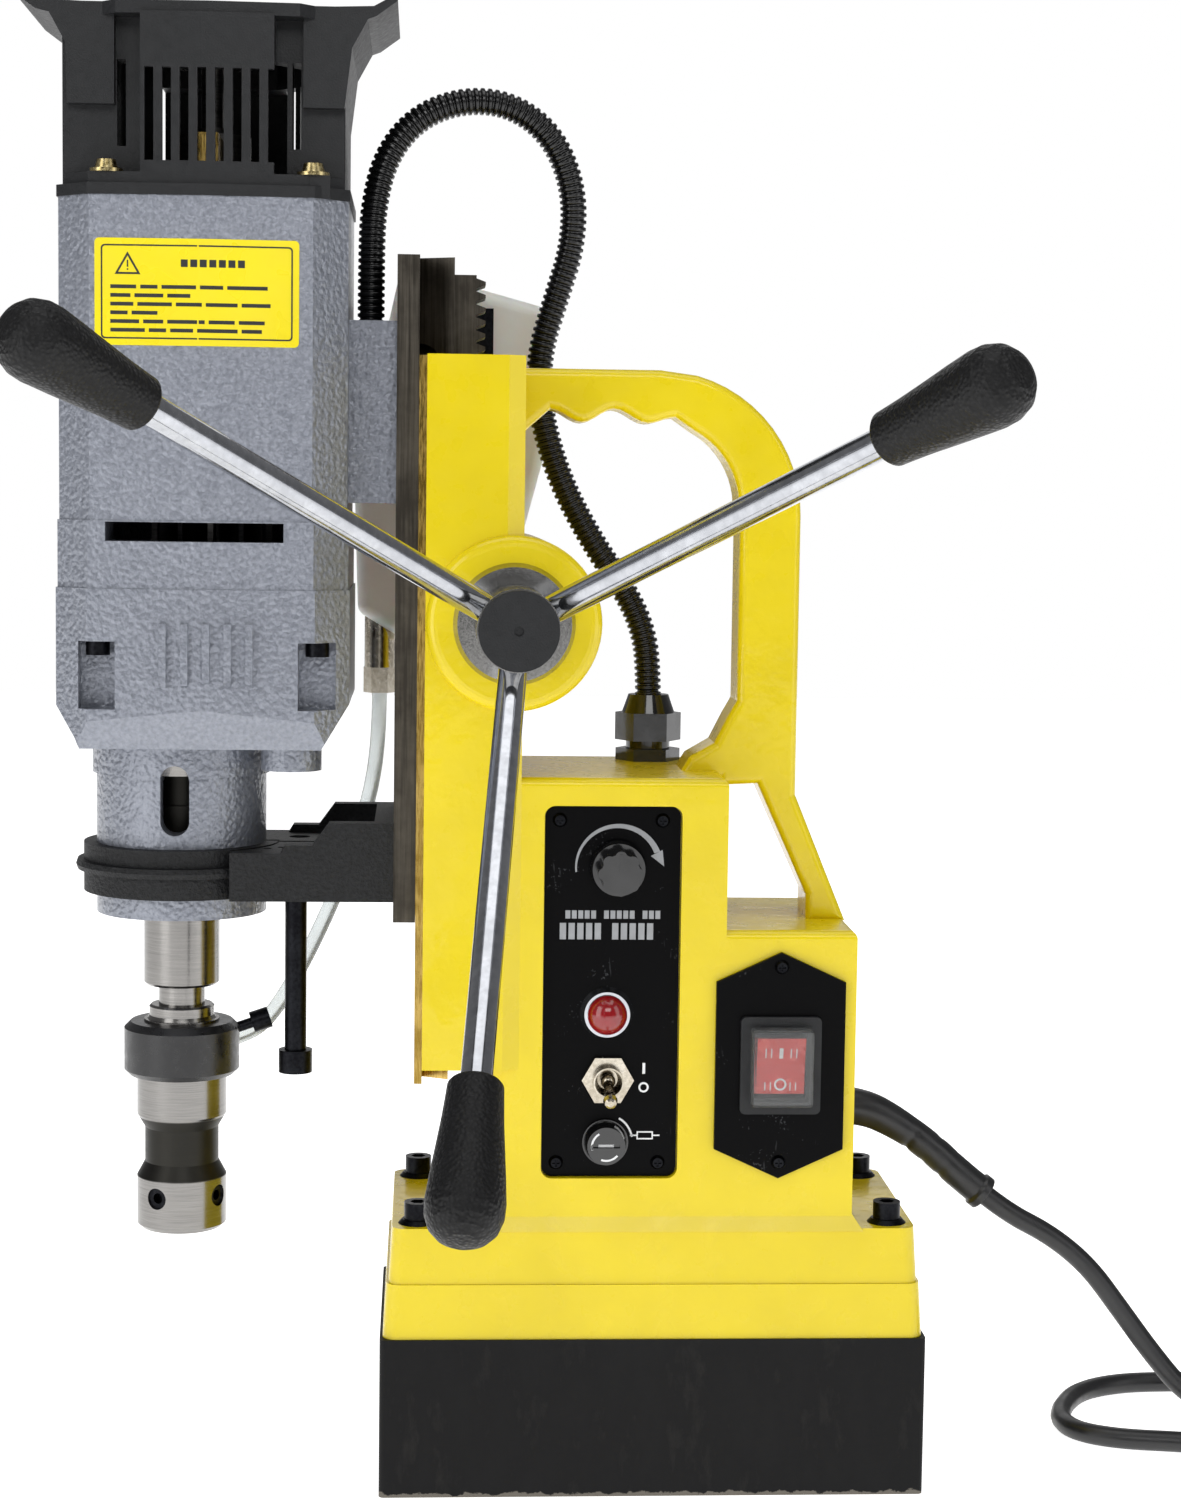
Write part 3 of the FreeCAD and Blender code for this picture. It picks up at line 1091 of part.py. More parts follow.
end_wall = box(s.slide_left - 7, s.slide_left, -s.arm_half + 5, s.arm_half - 5,
               arm_top - 2, s.arm_top)
bolt_spot = (s.arm_bolt_x, s.arm_bolt_y)
arm_bores = [rod(s.neck_size, 60, (s.spindle_x, size(0), s.arm_foot - 20)),
             rod(s.arm_bolt_size, 60, (*bolt_spot, s.arm_foot - 20)),
             rod(s.arm_bolt_size, 60, (s.arm_bolt_x, -s.arm_bolt_y, s.arm_foot - 20)),
             box(s.spindle_x + 25, s.slide_left - 30, size(-1.5), size(1.5),
                 s.arm_foot - 5, s.arm_top + 5)]
arm_bores += [rod(5, 14, (s.slide_left - 12, y, z), TO_RIGHT) for y, z in arm_screw_spots]
arm_bores += [rod(3.2, 8, (s.spindle_x + 33 + 5 * k, size(-22 + 4 * k), arm_top - 6))
              for k in range(3)]
node("arm", cut(fuse(arm_body, *walls, end_wall), *arm_bores))
bolt_length = s.arm_foot - s.arm_bolt_foot + 14
node("arm_bolt", cut(fuse(rod(s.arm_bolt_head, 8.4, (*bolt_spot, s.arm_bolt_foot)),
                          rod(s.arm_bolt_size, bolt_length, (*bolt_spot, s.arm_bolt_foot))),
                     rod(6, 5, (*bolt_spot, s.arm_bolt_foot - 1))))

half = {name: getattr(s, name) / 2 for name in
        ("spindle_size", "shank_size", "arbor_size", "arbor_bore", "arbor_waist")}
arbor_seat = s.ring_top + 6
spindle_turn = turned([(0, arbor_seat - 30), (half["shank_size"] - 2, arbor_seat - 30),
                       (half["shank_size"], s.spindle_foot - 14),
                       (half["shank_size"], s.spindle_foot),
                       (half["spindle_size"] - 1, s.spindle_foot),
                       (half["spindle_size"], s.spindle_foot + 1),
                       (half["spindle_size"], s.neck_foot + 40), (12.5, s.neck_foot + 40),
                       (12.5, s.gear_foot + 8), (8, s.gear_foot + 8),
                       (8, s.gear_foot + 21), (0, s.gear_foot + 21)],
                      (s.spindle_x, size(0), size(0)))
stage = (1.0, 1.25)
teeth = (13, 40, 12, 48)
bull_gear = shape_piece(involute_gear(stage[1], teeth[3], 0, 12, 0))
bull_gear.Placement = Placement(Vector(number("spindle_x"), 0, number("gear_foot") + 9),
                                Rotation())
node("spindle", fuse(spindle_turn, bull_gear))

arbor_top = s.ring_top + 6.4
arbor_body = turned([(0, s.arbor_foot), (half["arbor_size"] - 1.5, s.arbor_foot),
                     (half["arbor_size"], s.arbor_foot + 1.5),
                     (half["arbor_size"], s.arbor_foot + 19.5),
                     (half["arbor_waist"], s.arbor_foot + 25),
                     (half["arbor_waist"], s.arbor_foot + 38),
                     (half["arbor_size"], s.arbor_foot + 43),
                     (half["arbor_size"], s.ring_foot + 2),
                     (half["arbor_waist"] + 0.3, s.ring_foot + 2),
                     (half["arbor_waist"] + 0.3, s.ring_top + 1),
                     (12.8, s.ring_top + 1), (12.1, s.ring_top + 2.4),
                     (12.1, arbor_top - 0.8), (11.3, arbor_top), (0, arbor_top)],
                    (s.spindle_x, size(0), size(0)))
screw_turns = [Rotation(Vector(0, 0, 1), Vector(math.sin(math.radians(a)),
                                                -math.cos(math.radians(a)), 0))
               for a in (-30, 60)]
grub_z = s.arbor_foot + 13
grub_holes = [rod(8, 30, (s.spindle_x, size(0), grub_z), turn) for turn in screw_turns]
arbor_cuts = [rod(s.arbor_bore, 40, (s.spindle_x, size(0), s.arbor_foot - 5)),
              rod(s.shank_size, 40, (s.spindle_x, size(0), arbor_seat - 30)),
              rod(7, 70, (s.spindle_x, size(0), s.arbor_foot + 20))]
node("arbor", cut(arbor_body, *arbor_cuts, *grub_holes))
grubs = []
for turn in screw_turns:
    way = turn.multVec(Vector(0, 0, 1))
    start = [s.spindle_x + size(way.x) * (half["arbor_bore"] + 0.6),
             size(way.y) * (half["arbor_bore"] + 0.6), grub_z]
    end = [s.spindle_x + size(way.x) * (half["arbor_bore"] + 3),
           size(way.y) * (half["arbor_bore"] + 3), grub_z]
    grubs.append(cut(rod(8, half["arbor_size"] - half["arbor_bore"] - 1.8, start, turn),
                     rod(4, 12, end, turn)))
node("arbor_screws", group(*grubs))

ring_body = turned([(half["arbor_waist"] + 0.37, 0), (s.ring_size / 2 - 2, 0),
                    (s.ring_size / 2, 2), (s.ring_size / 2, s.ring_top - s.ring_foot - 2.4),
                    (s.ring_size / 2 - 2.4, s.ring_top - s.ring_foot),
                    (half["arbor_waist"] + 0.37, s.ring_top - s.ring_foot)],
                   (s.spindle_x, size(0), s.ring_foot + 2.1 - 2))
ring_body2 = cut(ring_body, box(size(-230), size(-120), size(-30), size(30),
                                s.ring_foot - 5, s.ring_foot + 0.05))
lower_turn = rod(s.arbor_size + 0.6, 2.2, (s.spindle_x, size(0), s.ring_foot - 0.1))
stop_way = Vector(0.93, 0.12, 0.3)
stop_turn = Rotation(Vector(0, 0, 1), stop_way)
stop_way.normalize()


def from_ring(distance):
    middle_z = (s.ring_foot + s.ring_top) / 2
    return [s.spindle_x + size(stop_way.x) * distance, size(stop_way.y) * distance,
            middle_z + size(stop_way.z) * distance]


hose_way = Rotation(Vector(0, 0, 1), Vector(0.76, 0.65, 0))
ring_hole = [s.spindle_x + (s.ring_size / 2 - 3.5) * 0.76, (s.ring_size / 2 - 3.5) * 0.65,
             (s.ring_foot + s.ring_top) / 2]
node("inlet_ring", cut(ring_body2, lower_turn,
                       rod(s.hose_size + 0.1, 14, ring_hole, hose_way),
                       rod(4, 14, from_ring(s.ring_size / 2 - 4), stop_turn)))
node("ring_screw", fuse(rod(4, 12, from_ring(s.ring_size / 2 - 4), stop_turn),
                        rod(8, 7, from_ring(s.ring_size / 2 + 6), stop_turn)))

# ---------------------------------------------------------------- gear train

armature_teeth_at = 0.0
lay_teeth_at = 180.0 + 180.0 / teeth[1]
lay_pinion_at = 180.0 + 180.0 / teeth[2]
lay_parts = []
lay_z = number("gear_foot") + 9
lay_pinion = shape_piece(involute_gear(stage[1], teeth[2], 0, 13, lay_pinion_at))
lay_pinion.Placement = Placement(Vector(number("layshaft_x"), 0, lay_z - 0.5), Rotation())
lay_wheel = shape_piece(involute_gear(stage[0], teeth[1], 0, 8, lay_teeth_at))
lay_wheel.Placement = Placement(Vector(number("layshaft_x"), 0, lay_z + 17.5), Rotation())
node("layshaft", fuse(lay_pinion, lay_wheel,
                      rod(6, 38, (s.layshaft_x, size(0), s.gear_foot + 1.8)),
                      rod(12, 9, (s.layshaft_x, size(0), s.gear_foot + 18))))

arm_pinion = shape_piece(involute_gear(stage[0], teeth[0], 0, 12, armature_teeth_at))
arm_pinion.Placement = Placement(Vector(float(motor_x), 0, lay_z + 16), Rotation())
fan_z = s.fan_foot + 8
blades = []
for k in range(12):
    blade = box(s.core_size / 2 - 8, s.fan_size / 2, size(-1), size(1), size(0), size(13.6))
    doc.recompute()
    shape = blade.Shape.copy()
    shape.rotate(Vector(0, 0, 0), Vector(0, 0, 1), 30 * k)
    piece = shape_piece(shape)
    place(piece, (motor_x, size(0), fan_z + 2))
    doc.removeObject(blade.Name)
    blades.append(piece)
shaft_top = s.cap_top - 6.2
node("armature", fuse(arm_pinion,
                      rod(8, shaft_top - s.gear_foot - 26, (motor_x, size(0), s.gear_foot + 26)),
                      rod(s.core_size, s.stator_length - 4,
                          (motor_x, size(0), s.stator_foot + 2)),
                      rod(s.core_size - 10, s.stator_length + 22,
                          (motor_x, size(0), s.stator_foot - 11)),
                      rod(28, 20, (motor_x, size(0), comm_z - 10)),
                      rod(12, s.cap_top - s.fan_foot - 40, (motor_x, size(0), s.fan_foot + 6)),
                      rod(s.fan_size, 2.2, (motor_x, size(0), fan_z)), *blades))

# ---------------------------------------------------------------- coolant


def tube(route, width, name=None, shortest=0.45):
    """A round tube along straight runs joined by tangent arcs; prints its radii."""
    points = [Vector(*p) for p in route]
    edges = []
    radii = []
    start = points[0]
    for before, at, after in zip(points, points[1:], points[2:]):
        one = at - before
        two = after - at
        run = min(one.Length, two.Length)
        one.normalize()
        two.normalize()
        turn = one.getAngle(two)
        back = shortest * run
        radius = back / math.tan(turn / 2)
        radii.append(round(radius, 1))
        enter = at - one * back
        leave = at + two * back
        middle = two - one
        middle.normalize()
        centre = at + middle * (radius / math.cos(turn / 2))
        on_arc = centre - middle * radius
        if (enter - start).Length > 1e-6:
            edges.append(Part.LineSegment(start, enter).toShape())
        edges.append(Part.Arc(enter, on_arc, leave).toShape())
        start = leave
    edges.append(Part.LineSegment(start, points[-1]).toShape())
    path = Part.Wire(edges)
    way = points[1] - points[0]
    profile = Part.Wire(Part.makeCircle(width / 2, points[0], way))
    shell = path.makePipeShell([profile], True, False)
    length = path.Length
    volume = math.pi * width * width / 4 * length
    if name:
        print(f"{name}: length {length:.1f}, volume {shell.Volume:.0f} against {volume:.0f}, "
              f"radii {radii}")
    return shell


tank_side = [(s.tank_x - 30, s.tank_top), (s.tank_x - 37, s.tank_top - 32),
             (s.tank_x - 48, s.tank_top - 72), (s.tank_x - 46, s.tank_foot + 12),
             (s.tank_x - 26, s.tank_foot), (s.tank_x + 4, s.tank_foot + 10),
             (s.tank_x + 19.5, s.tank_foot + 47), (s.tank_x + 31.4, s.tank_top - 54),
             (s.tank_x + 26.5, s.tank_top - 15)]
tank_back = s.tank_front + s.tank_depth
tank_body = pad(tank_side, "Y", s.tank_front, tank_back, size(5), lambda edge: True)
strap_foot = s.tank_top - 34
strap_top = s.tank_top - 16
node("tank_bracket", fuse(box(s.slide_left, plate_right, s.slide_half, s.tank_front,
                              strap_foot, strap_top),
                          box(s.slide_left, s.tank_x + 6, s.tank_front - 3, s.tank_front,
                              strap_foot, strap_top)))
valve_x = s.tank_x - 37.4
valve_y = s.tank_front + 10
valve_foot = s.tank_foot - 10
valve_bore = rod(12, 20, (valve_x, valve_y, valve_foot))
node("coolant_tank", cut(tank_body, valve_bore))
node("coolant_valve", fuse(rod(12, 20, (valve_x, valve_y, valve_foot)),
                           pad([(u + valve_x, v + valve_y) for u, v in hexagon(0, 0, 11)],
                               "Z", valve_foot - 10, valve_foot)))
ring_mid = (s.ring_foot + s.ring_top) / 2


def at_ring(distance):
    return (float(s.spindle_x) + 0.76 * distance, 0.65 * distance, float(ring_mid))


hose_foot = float(valve_foot) - 10
hose_route = [(float(valve_x), float(valve_y), hose_foot),
              (float(valve_x), float(valve_y), hose_foot - 16),
              (-106, 60, 248), (-113, 52, 226), (-121, 45, 205), (-130, 38.5, 186),
              (-140, 31, 168), at_ring(33), at_ring(float(s.ring_size) / 2 - 3.5)]
node("coolant_hose", shape_piece(tube(hose_route, number("hose_size"), "coolant_hose")))

# ---------------------------------------------------------------- cords

gland_z = s.box_top
gland_base = pad([(u + s.gland_x, v + s.gland_y) for u, v in hexagon(0, 0, 21.5)],
                 "Z", gland_z, gland_z + 4.6)
gland_grip = pad([(u + s.gland_x, v + s.gland_y) for u, v in hexagon(0, 0, s.gland_nut)],
                 "Z", gland_z + 7.8, gland_z + 18.4)
gland_parts = [fuse(gland_base, rod(15.8, 12, (s.gland_x, s.gland_y, gland_z - 7)),
                    rod(17, 3.4, (s.gland_x, s.gland_y, gland_z + 4.5)), gland_grip,
                    cone(20.4, 15.4, 7, (s.gland_x, s.gland_y, gland_z + 18.3)))]
node("gland", cut(gland_parts[0], rod(s.conduit_size + 0.1, 60,
                                      (s.gland_x, s.gland_y, gland_z - 12))))

conduit_route = [(-106.5, 8.3, float(s.bracket_top)), (-106.5, 8.3, 449), (-106, 9, 470),
                 (-101.5, 10.5, 489), (-90, 12.5, 503.5), (-73, 14.5, 510.5), (-55, 17, 509.5),
                 (-39.5, 20, 499), (-31, 23, 480), (-31, 26, 459), (-37, 28, 439),
                 (-43, 29.4, 419), (-43, 30.4, 398), (-35, 31, 371), (-22.5, 31, 348),
                 (-10.5, 31, 331), (-2.6, 30.5, 316),
                 (number("gland_x"), number("gland_y"), float(gland_z) + 36),
                 (number("gland_x"), number("gland_y"), float(gland_z) + 12)]
node("conduit", shape_piece(tube(conduit_route, number("conduit_size"), "conduit")))

cord_y0 = float(cord_y)
boot_start = (number("step_right"), cord_y0, float(cord_z))
boot_route = [boot_start, (84, cord_y0, float(cord_z)), (99, cord_y0 + 0.3, 124), (112, cord_y0, 114.6),
              (122.4, cord_y0 - 0.3, 104.8), (132.8, cord_y0, 96.6)]
boot = tube(boot_route, number("boot_size") - 2, "cord_boot")
boot_way = Vector(*boot_route[-1]) - Vector(*boot_route[-2])
boot_way.normalize()
turn_r = number("coil_outer") - number("mains_size") / 2
lead_a = math.radians(number("lead_angle"))
lead_way = Vector(-math.sin(lead_a), math.cos(lead_a), 0)
lead_touch = Vector(number("coil_x") + turn_r * math.cos(lead_a), turn_r * math.sin(lead_a),
                    number("mains_size") / 2 + 0.1)
lead_start = lead_touch - lead_way * number("coil_lead")
cord_route = [boot_route[-1], tuple(Vector(*boot_route[-1]) + boot_way * 13),
              (159.5, cord_y0, 80.3), (175, cord_y0, 67.8),
              (188, cord_y0, 50.5), (200.6, cord_y0 - 0.4, 33.5), (214, cord_y0 - 2, 17.5),
              (232, 10, 8), (254, 17, 4.8), (268, 34, 4.6), (264, 55, 4.4), (246, 66, 4.4),
              (224, 67, 4.4), (202, 66, 4.3), (183, 56, 4.3), (172, 38, 4.2),
              (166.5, 20, 4.2), (171, 5.5, 4.2), (186, -3, 4.2), (208, -6.2, 4.1),
              (234, -13.5, 4.1), (262, -25.4, 4.1), tuple(lead_start)]
node("mains_cord", shape_piece(tube(cord_route, number("mains_size"), "mains_cord")))
boot_flange = rod(s.boot_size + 3.6, 2.6, (s.step_right, cord_y, cord_z), TO_RIGHT)
boot_root = cone(s.boot_size + 1.4, s.boot_size - 2, 10, (s.step_right, cord_y, cord_z),
                 TO_RIGHT)
end_at = Vector(*boot_route[-1]) - boot_way * 3
boot_end = rod(s.boot_size, 3, tuple(end_at), Rotation(Vector(0, 0, 1), boot_way))
node("cord_boot", fuse(shape_piece(boot), boot_flange, boot_root, boot_end))

plug_x = s.coil_x + s.coil_lead
plug_y = s.mains_size / 2 - s.coil_outer
# the turns lie a little loose, so the ring stands just proud of the cord that joins it
ring_block_out = rod(2 * (s.coil_outer + s.coil_slack), s.coil_height + s.coil_slack,
                     (s.coil_x, size(0), size(0)))
ring_block_in = rod(2 * (s.coil_inner - s.coil_slack), 40, (s.coil_x, size(0), size(-5)))
lead_in = rod(s.mains_size, s.coil_lead, tuple(lead_start),
              Rotation(Vector(0, 0, 1), lead_way))
lead_out = rod(s.mains_size, s.coil_lead,
               (s.coil_x, plug_y, s.coil_height - s.mains_size / 2 + 0.1), TO_RIGHT)
node("mains_coil", cut(fuse(ring_block_out, lead_in, lead_out), ring_block_in))

# moulded three-pin plug lying beside the coil
plug_shape = [(0, -5), (16, -9), (24, -14), (43, -14), (43, 14), (24, 14), (16, 9), (0, 5)]
plug_body = pad([(plug_x + u, plug_y + v) for u, v in plug_shape], "Z", size(0.1), size(22),
                size(2.5), lambda edge: abs(edge.CenterOfMass.z) < 0.01
                or abs(edge.CenterOfMass.z - 21.9) < 0.01)
plug_face = plug_x + 43
blades = [box(plug_face - 0.5, plug_face + 17, plug_y + y - 0.75, plug_y + y + 0.75,
              size(10), size(16.4)) for y in (-6.35, 6.35)]
ground = rod(4.8, 20.5, (plug_face - 0.5, plug_y, size(4.6)), TO_RIGHT)
node("mains_plug", fuse(plug_body, *blades, ground))

# ---------------------------------------------------------------- write the parts

doc.recompute()
faults = [f"{o.Name} ({o.Label}): {o.State}" for o in doc.Objects
          if "Invalid" in o.State or "Error" in o.State]
for name, piece in nodes.items():
    shape = piece.Shape
    if shape.isNull() or not shape.Solids:
        faults.append(f"{name}: no solid")
    elif not shape.isValid():
        faults.append(f"{name}: shape not valid")
if faults:
    raise RuntimeError("; ".join(faults))

os.makedirs("parts", exist_ok=True)
for name, piece in nodes.items():
    piece.Shape.exportStep(os.path.join("parts", f"{name}.step"))
print(len(nodes), "parts written")
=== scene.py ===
import math

import bmesh
import bpy
from mathutils import Matrix, Vector
from mathutils.bvhtree import BVHTree


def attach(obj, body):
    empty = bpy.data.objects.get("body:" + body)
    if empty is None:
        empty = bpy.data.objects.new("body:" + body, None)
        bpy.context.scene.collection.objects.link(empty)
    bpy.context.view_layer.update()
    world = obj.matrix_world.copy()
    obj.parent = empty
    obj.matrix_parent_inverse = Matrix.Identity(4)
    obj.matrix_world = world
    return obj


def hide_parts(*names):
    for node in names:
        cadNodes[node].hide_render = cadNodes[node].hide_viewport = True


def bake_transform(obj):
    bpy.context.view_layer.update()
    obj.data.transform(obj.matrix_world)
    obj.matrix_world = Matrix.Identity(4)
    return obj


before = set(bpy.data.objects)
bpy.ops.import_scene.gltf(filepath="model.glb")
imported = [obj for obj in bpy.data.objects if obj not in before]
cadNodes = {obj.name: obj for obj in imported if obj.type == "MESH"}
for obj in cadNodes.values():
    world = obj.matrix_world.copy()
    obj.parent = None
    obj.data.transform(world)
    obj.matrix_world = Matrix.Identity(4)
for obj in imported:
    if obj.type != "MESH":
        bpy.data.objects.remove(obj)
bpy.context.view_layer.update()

mm = 0.001
metre = 1000  # in millimetres, so a scale of metre / 7 gives a pattern about 7 mm across
print("frame loaded:", len(cadNodes), "nodes")

# camera, floor and light

camera = {"place": (-0.08557, -1.05756, 0.36627), "yaw": 3.37, "pitch": 5.205, "roll": 0.773, "lens": 68.1}


def setCamera():
    yaw, pitch, roll = (math.radians(camera[key]) for key in ("yaw", "pitch", "roll"))
    ahead = Vector((math.sin(yaw) * math.cos(pitch), math.cos(yaw) * math.cos(pitch), -math.sin(pitch)))
    level = Vector((math.cos(yaw), -math.sin(yaw), 0))
    upright = level.cross(ahead)
    right = level * math.cos(roll) + upright * math.sin(roll)
    up = upright * math.cos(roll) - level * math.sin(roll)
    data = bpy.data.cameras.new("benchCamera")
    data.sensor_width = 36
    data.lens = camera["lens"]
    data.clip_start = 0.05
    view = bpy.data.objects.new("benchCamera", data)
    turn = Matrix((right, up, -ahead)).transposed().to_4x4()
    view.matrix_world = Matrix.Translation(camera["place"]) @ turn
    bpy.context.scene.collection.objects.link(view)
    bpy.context.scene.camera = view


def toLinear(hexColour, alpha=1.0):
    parts = [int(hexColour[i:i + 2], 16) / 255 for i in (1, 3, 5)]
    return tuple(c / 12.92 if c <= 0.04045 else ((c + 0.055) / 1.055) ** 2.4 for c in parts) + (alpha,)


def addNode(tree, kind, settings=None, links=None):
    # names with a capital and numbers are sockets, the rest are the node's own settings;
    # a link comes from a socket, or from a node's first output
    node = tree.nodes.new(kind)
    for key, value in (settings or {}).items():
        if isinstance(key, int) or key[0].isupper():
            node.inputs[key].default_value = value
        else:
            setattr(node, key, value)
    for key, source in (links or {}).items():
        tree.links.new(getattr(source, "outputs", [source])[0], node.inputs[key])
    return node


lights = {
    "leftBox": {"at": (-1.25, -1.0, 0.75), "aim": (-0.08, 0, 0.3), "size": (0.75, 1.5), "watts": 8.6},
    "rightBox": {"at": (1.25, -0.85, 0.7), "aim": (0.0, 0, 0.25), "size": (0.6, 1.5), "watts": 4},
    "topBox": {"at": (0.0, -0.25, 1.75), "aim": (0, 0, 0.2), "size": (1.5, 1.0), "watts": 7.8},
    "frontBox": {"at": (0.05, -1.7, 1.25), "aim": (-0.03, 0, 0.22), "size": (1.0, 0.6), "watts": 7.2},
    "backBox": {"at": (0.1, 1.7, 1.1), "aim": (0, 0, 0.3), "size": (1.6, 1.2), "watts": 5},
}


def setStudio():
    for name, light in lights.items():
        data = bpy.data.lights.new(name, "AREA")
        data.shape = "RECTANGLE"
        data.size, data.size_y = light["size"]
        data.energy = light["watts"]
        lamp = bpy.data.objects.new(name, data)
        lamp.location = light["at"]
        way = Vector(light["aim"]) - Vector(light["at"])
        lamp.rotation_euler = way.to_track_quat("-Z", "Y").to_euler()
        bpy.context.scene.collection.objects.link(lamp)
    world = bpy.data.worlds.new("paperSweep")
    bpy.context.scene.world = world
    world.use_nodes = True
    tree = world.node_tree
    tree.nodes.clear()
    place = addNode(tree, "ShaderNodeTexCoord")
    parts = addNode(tree, "ShaderNodeSeparateXYZ", links={"Vector": place.outputs["Generated"]})
    # a dim room, so that the light comes from the boxes and black parts stay black
    room = addNode(tree, "ShaderNodeMapRange", {"From Min": -0.8, "From Max": 0.7, "To Min": 0.14, "To Max": 0.22},
                   {"Value": parts.outputs["Y"]})
    seen = addNode(tree, "ShaderNodeLightPath")
    glow = addNode(tree, "ShaderNodeBackground", {"Color": toLinear("#fdfdff")}, {"Strength": room})
    paper = addNode(tree, "ShaderNodeBackground", {"Color": toLinear("#ffffff"), "Strength": 1.0})
    both = addNode(tree, "ShaderNodeMixShader", links={0: seen.outputs["Is Camera Ray"], 1: glow, 2: paper})
    addNode(tree, "ShaderNodeOutputWorld", links={"Surface": both})
    bpy.context.scene.view_settings.view_transform = "Standard"


# finishes


def startFinish(name, colour, roughness, metallic=0.0, **sockets):
    # sockets are constants of the shader, with _ for each space, such as Coat_Weight
    material = bpy.data.materials.new(name)
    material.use_nodes = True
    tree = material.node_tree
    shader = tree.nodes["Principled BSDF"]
    shader.inputs["Base Color"].default_value = toLinear(colour)
    shader.inputs["Roughness"].default_value = roughness
    shader.inputs["Metallic"].default_value = metallic
    for key, value in sockets.items():
        shader.inputs[key.replace("_", " ")].default_value = value
    return material, tree, shader


def textureSpace(tree, stretch=(1, 1, 1)):
    # the object's own metres; a small number draws the pattern out along that axis
    place = addNode(tree, "ShaderNodeTexCoord")
    return addNode(tree, "ShaderNodeMapping", {"Scale": stretch}, {"Vector": place.outputs["Object"]})


def dressShader(tree, shader, mask, first, second, rough, *layers):
    # the mask goes from the first colour, or another blend's output, to the second;
    # each layer is a pattern and the depth in millimetres that it is raised by
    mix = addNode(tree, "ShaderNodeMix", {"data_type": "RGBA", 7: toLinear(second)}, {"Factor": mask})
    if isinstance(first, str):
        mix.inputs[6].default_value = toLinear(first)
    else:
        tree.links.new(first, mix.inputs[6])
    tree.links.new(mix.outputs[2], shader.inputs["Base Color"])
    if rough:
        tree.links.new(rough.outputs[0], shader.inputs["Roughness"])
    normal = None
    for pattern, depth in layers:
        bump = addNode(tree, "ShaderNodeBump", {"Strength": 1.0, "Distance": depth * mm}, {"Height": pattern})
        if normal:
            tree.links.new(normal, bump.inputs["Normal"])
        normal = bump.outputs["Normal"]
    if normal:
        tree.links.new(normal, shader.inputs["Normal"])
        if shader.inputs["Coat Weight"].default_value > 0:
            tree.links.new(normal, shader.inputs["Coat Normal"])


def makeGlossEnamel():
    # gloss enamel sprayed over a sand casting: a wet shine that rolls gently over the cast skin
    material, tree, shader = startFinish("glossEnamelOnCastAluminium", "#e0c90a", 0.3, IOR=1.5,
                                         Specular_IOR_Level=0.35, Coat_Weight=0.35, Coat_Roughness=0.05)
    space = textureSpace(tree)
    patches = addNode(tree, "ShaderNodeTexNoise", {"Scale": metre / 30}, {"Vector": space})
    tint = addNode(tree, "ShaderNodeMapRange", {"From Min": 0.3, "From Max": 0.7}, {"Value": patches})
    flow = addNode(tree, "ShaderNodeTexNoise", {"Scale": metre / 8, "Detail": 4}, {"Vector": space})
    rough = addNode(tree, "ShaderNodeMapRange", {"From Min": 0.3, "From Max": 0.7, "To Min": 0.24, "To Max": 0.36},
                    {"Value": flow})
    castSkin = addNode(tree, "ShaderNodeTexNoise", {"Scale": metre / 7}, {"Vector": space})
    orangePeel = addNode(tree, "ShaderNodeTexNoise", {"Scale": metre / 1.6, "Detail": 1}, {"Vector": space})
    dressShader(tree, shader, tint, "#e2cb08", "#dac306", rough, (castSkin, 0.16), (orangePeel, 0.018))
    return material


def makeHammertone():
    # hammertone enamel on die-cast aluminium: small silver dimples, each with its own glint
    material, tree, shader = startFinish("hammertoneEnamelOnDieCasting", "#858a94", 0.34, 0.35, IOR=1.5,
                                         Coat_Weight=0.35, Coat_Roughness=0.12)
    space = textureSpace(tree)
    # real dimples are 1 to 2 mm, drawn at 2 mm so they show
    dimples = addNode(tree, "ShaderNodeTexVoronoi", {"feature": "SMOOTH_F1", "Scale": metre / 2.0, "Smoothness": 0.7},
                      {"Vector": space})
    warped = addNode(tree, "ShaderNodeTexNoise", {"Scale": metre / 1.5}, {"Vector": space})
    tint = addNode(tree, "ShaderNodeMapRange", {"From Min": 0.3, "From Max": 0.7}, {"Value": warped})
    rough = addNode(tree, "ShaderNodeMapRange", {"From Min": 0.3, "From Max": 0.7, "To Min": 0.28, "To Max": 0.42},
                    {"Value": warped})
    dressShader(tree, shader, tint, "#787c86", "#8d919b", rough, (dimples, -0.4), (warped, 0.4))
    return material


def makeWrinkleEnamel():
    # black wrinkle enamel on cast iron: a dry, pebbled skin with little shine
    material, tree, shader = startFinish("wrinkleEnamelOnCastIron", "#131314", 0.55, IOR=1.5, Specular_IOR_Level=0.3)
    pebbles = addNode(tree, "ShaderNodeTexNoise", {"Scale": metre / 1.4, "Detail": 3, "Roughness": 0.6},
                      {"Vector": textureSpace(tree)})
    # painted shade and highlight: the hollows between pebbles are coloured darker and the pebble tops lighter
    tint = addNode(tree, "ShaderNodeMapRange", {"From Min": 0.3, "From Max": 0.7}, {"Value": pebbles})
    dressShader(tree, shader, tint, "#0a0a0b", "#1b1c1e", None, (pebbles, 0.7))
    return material


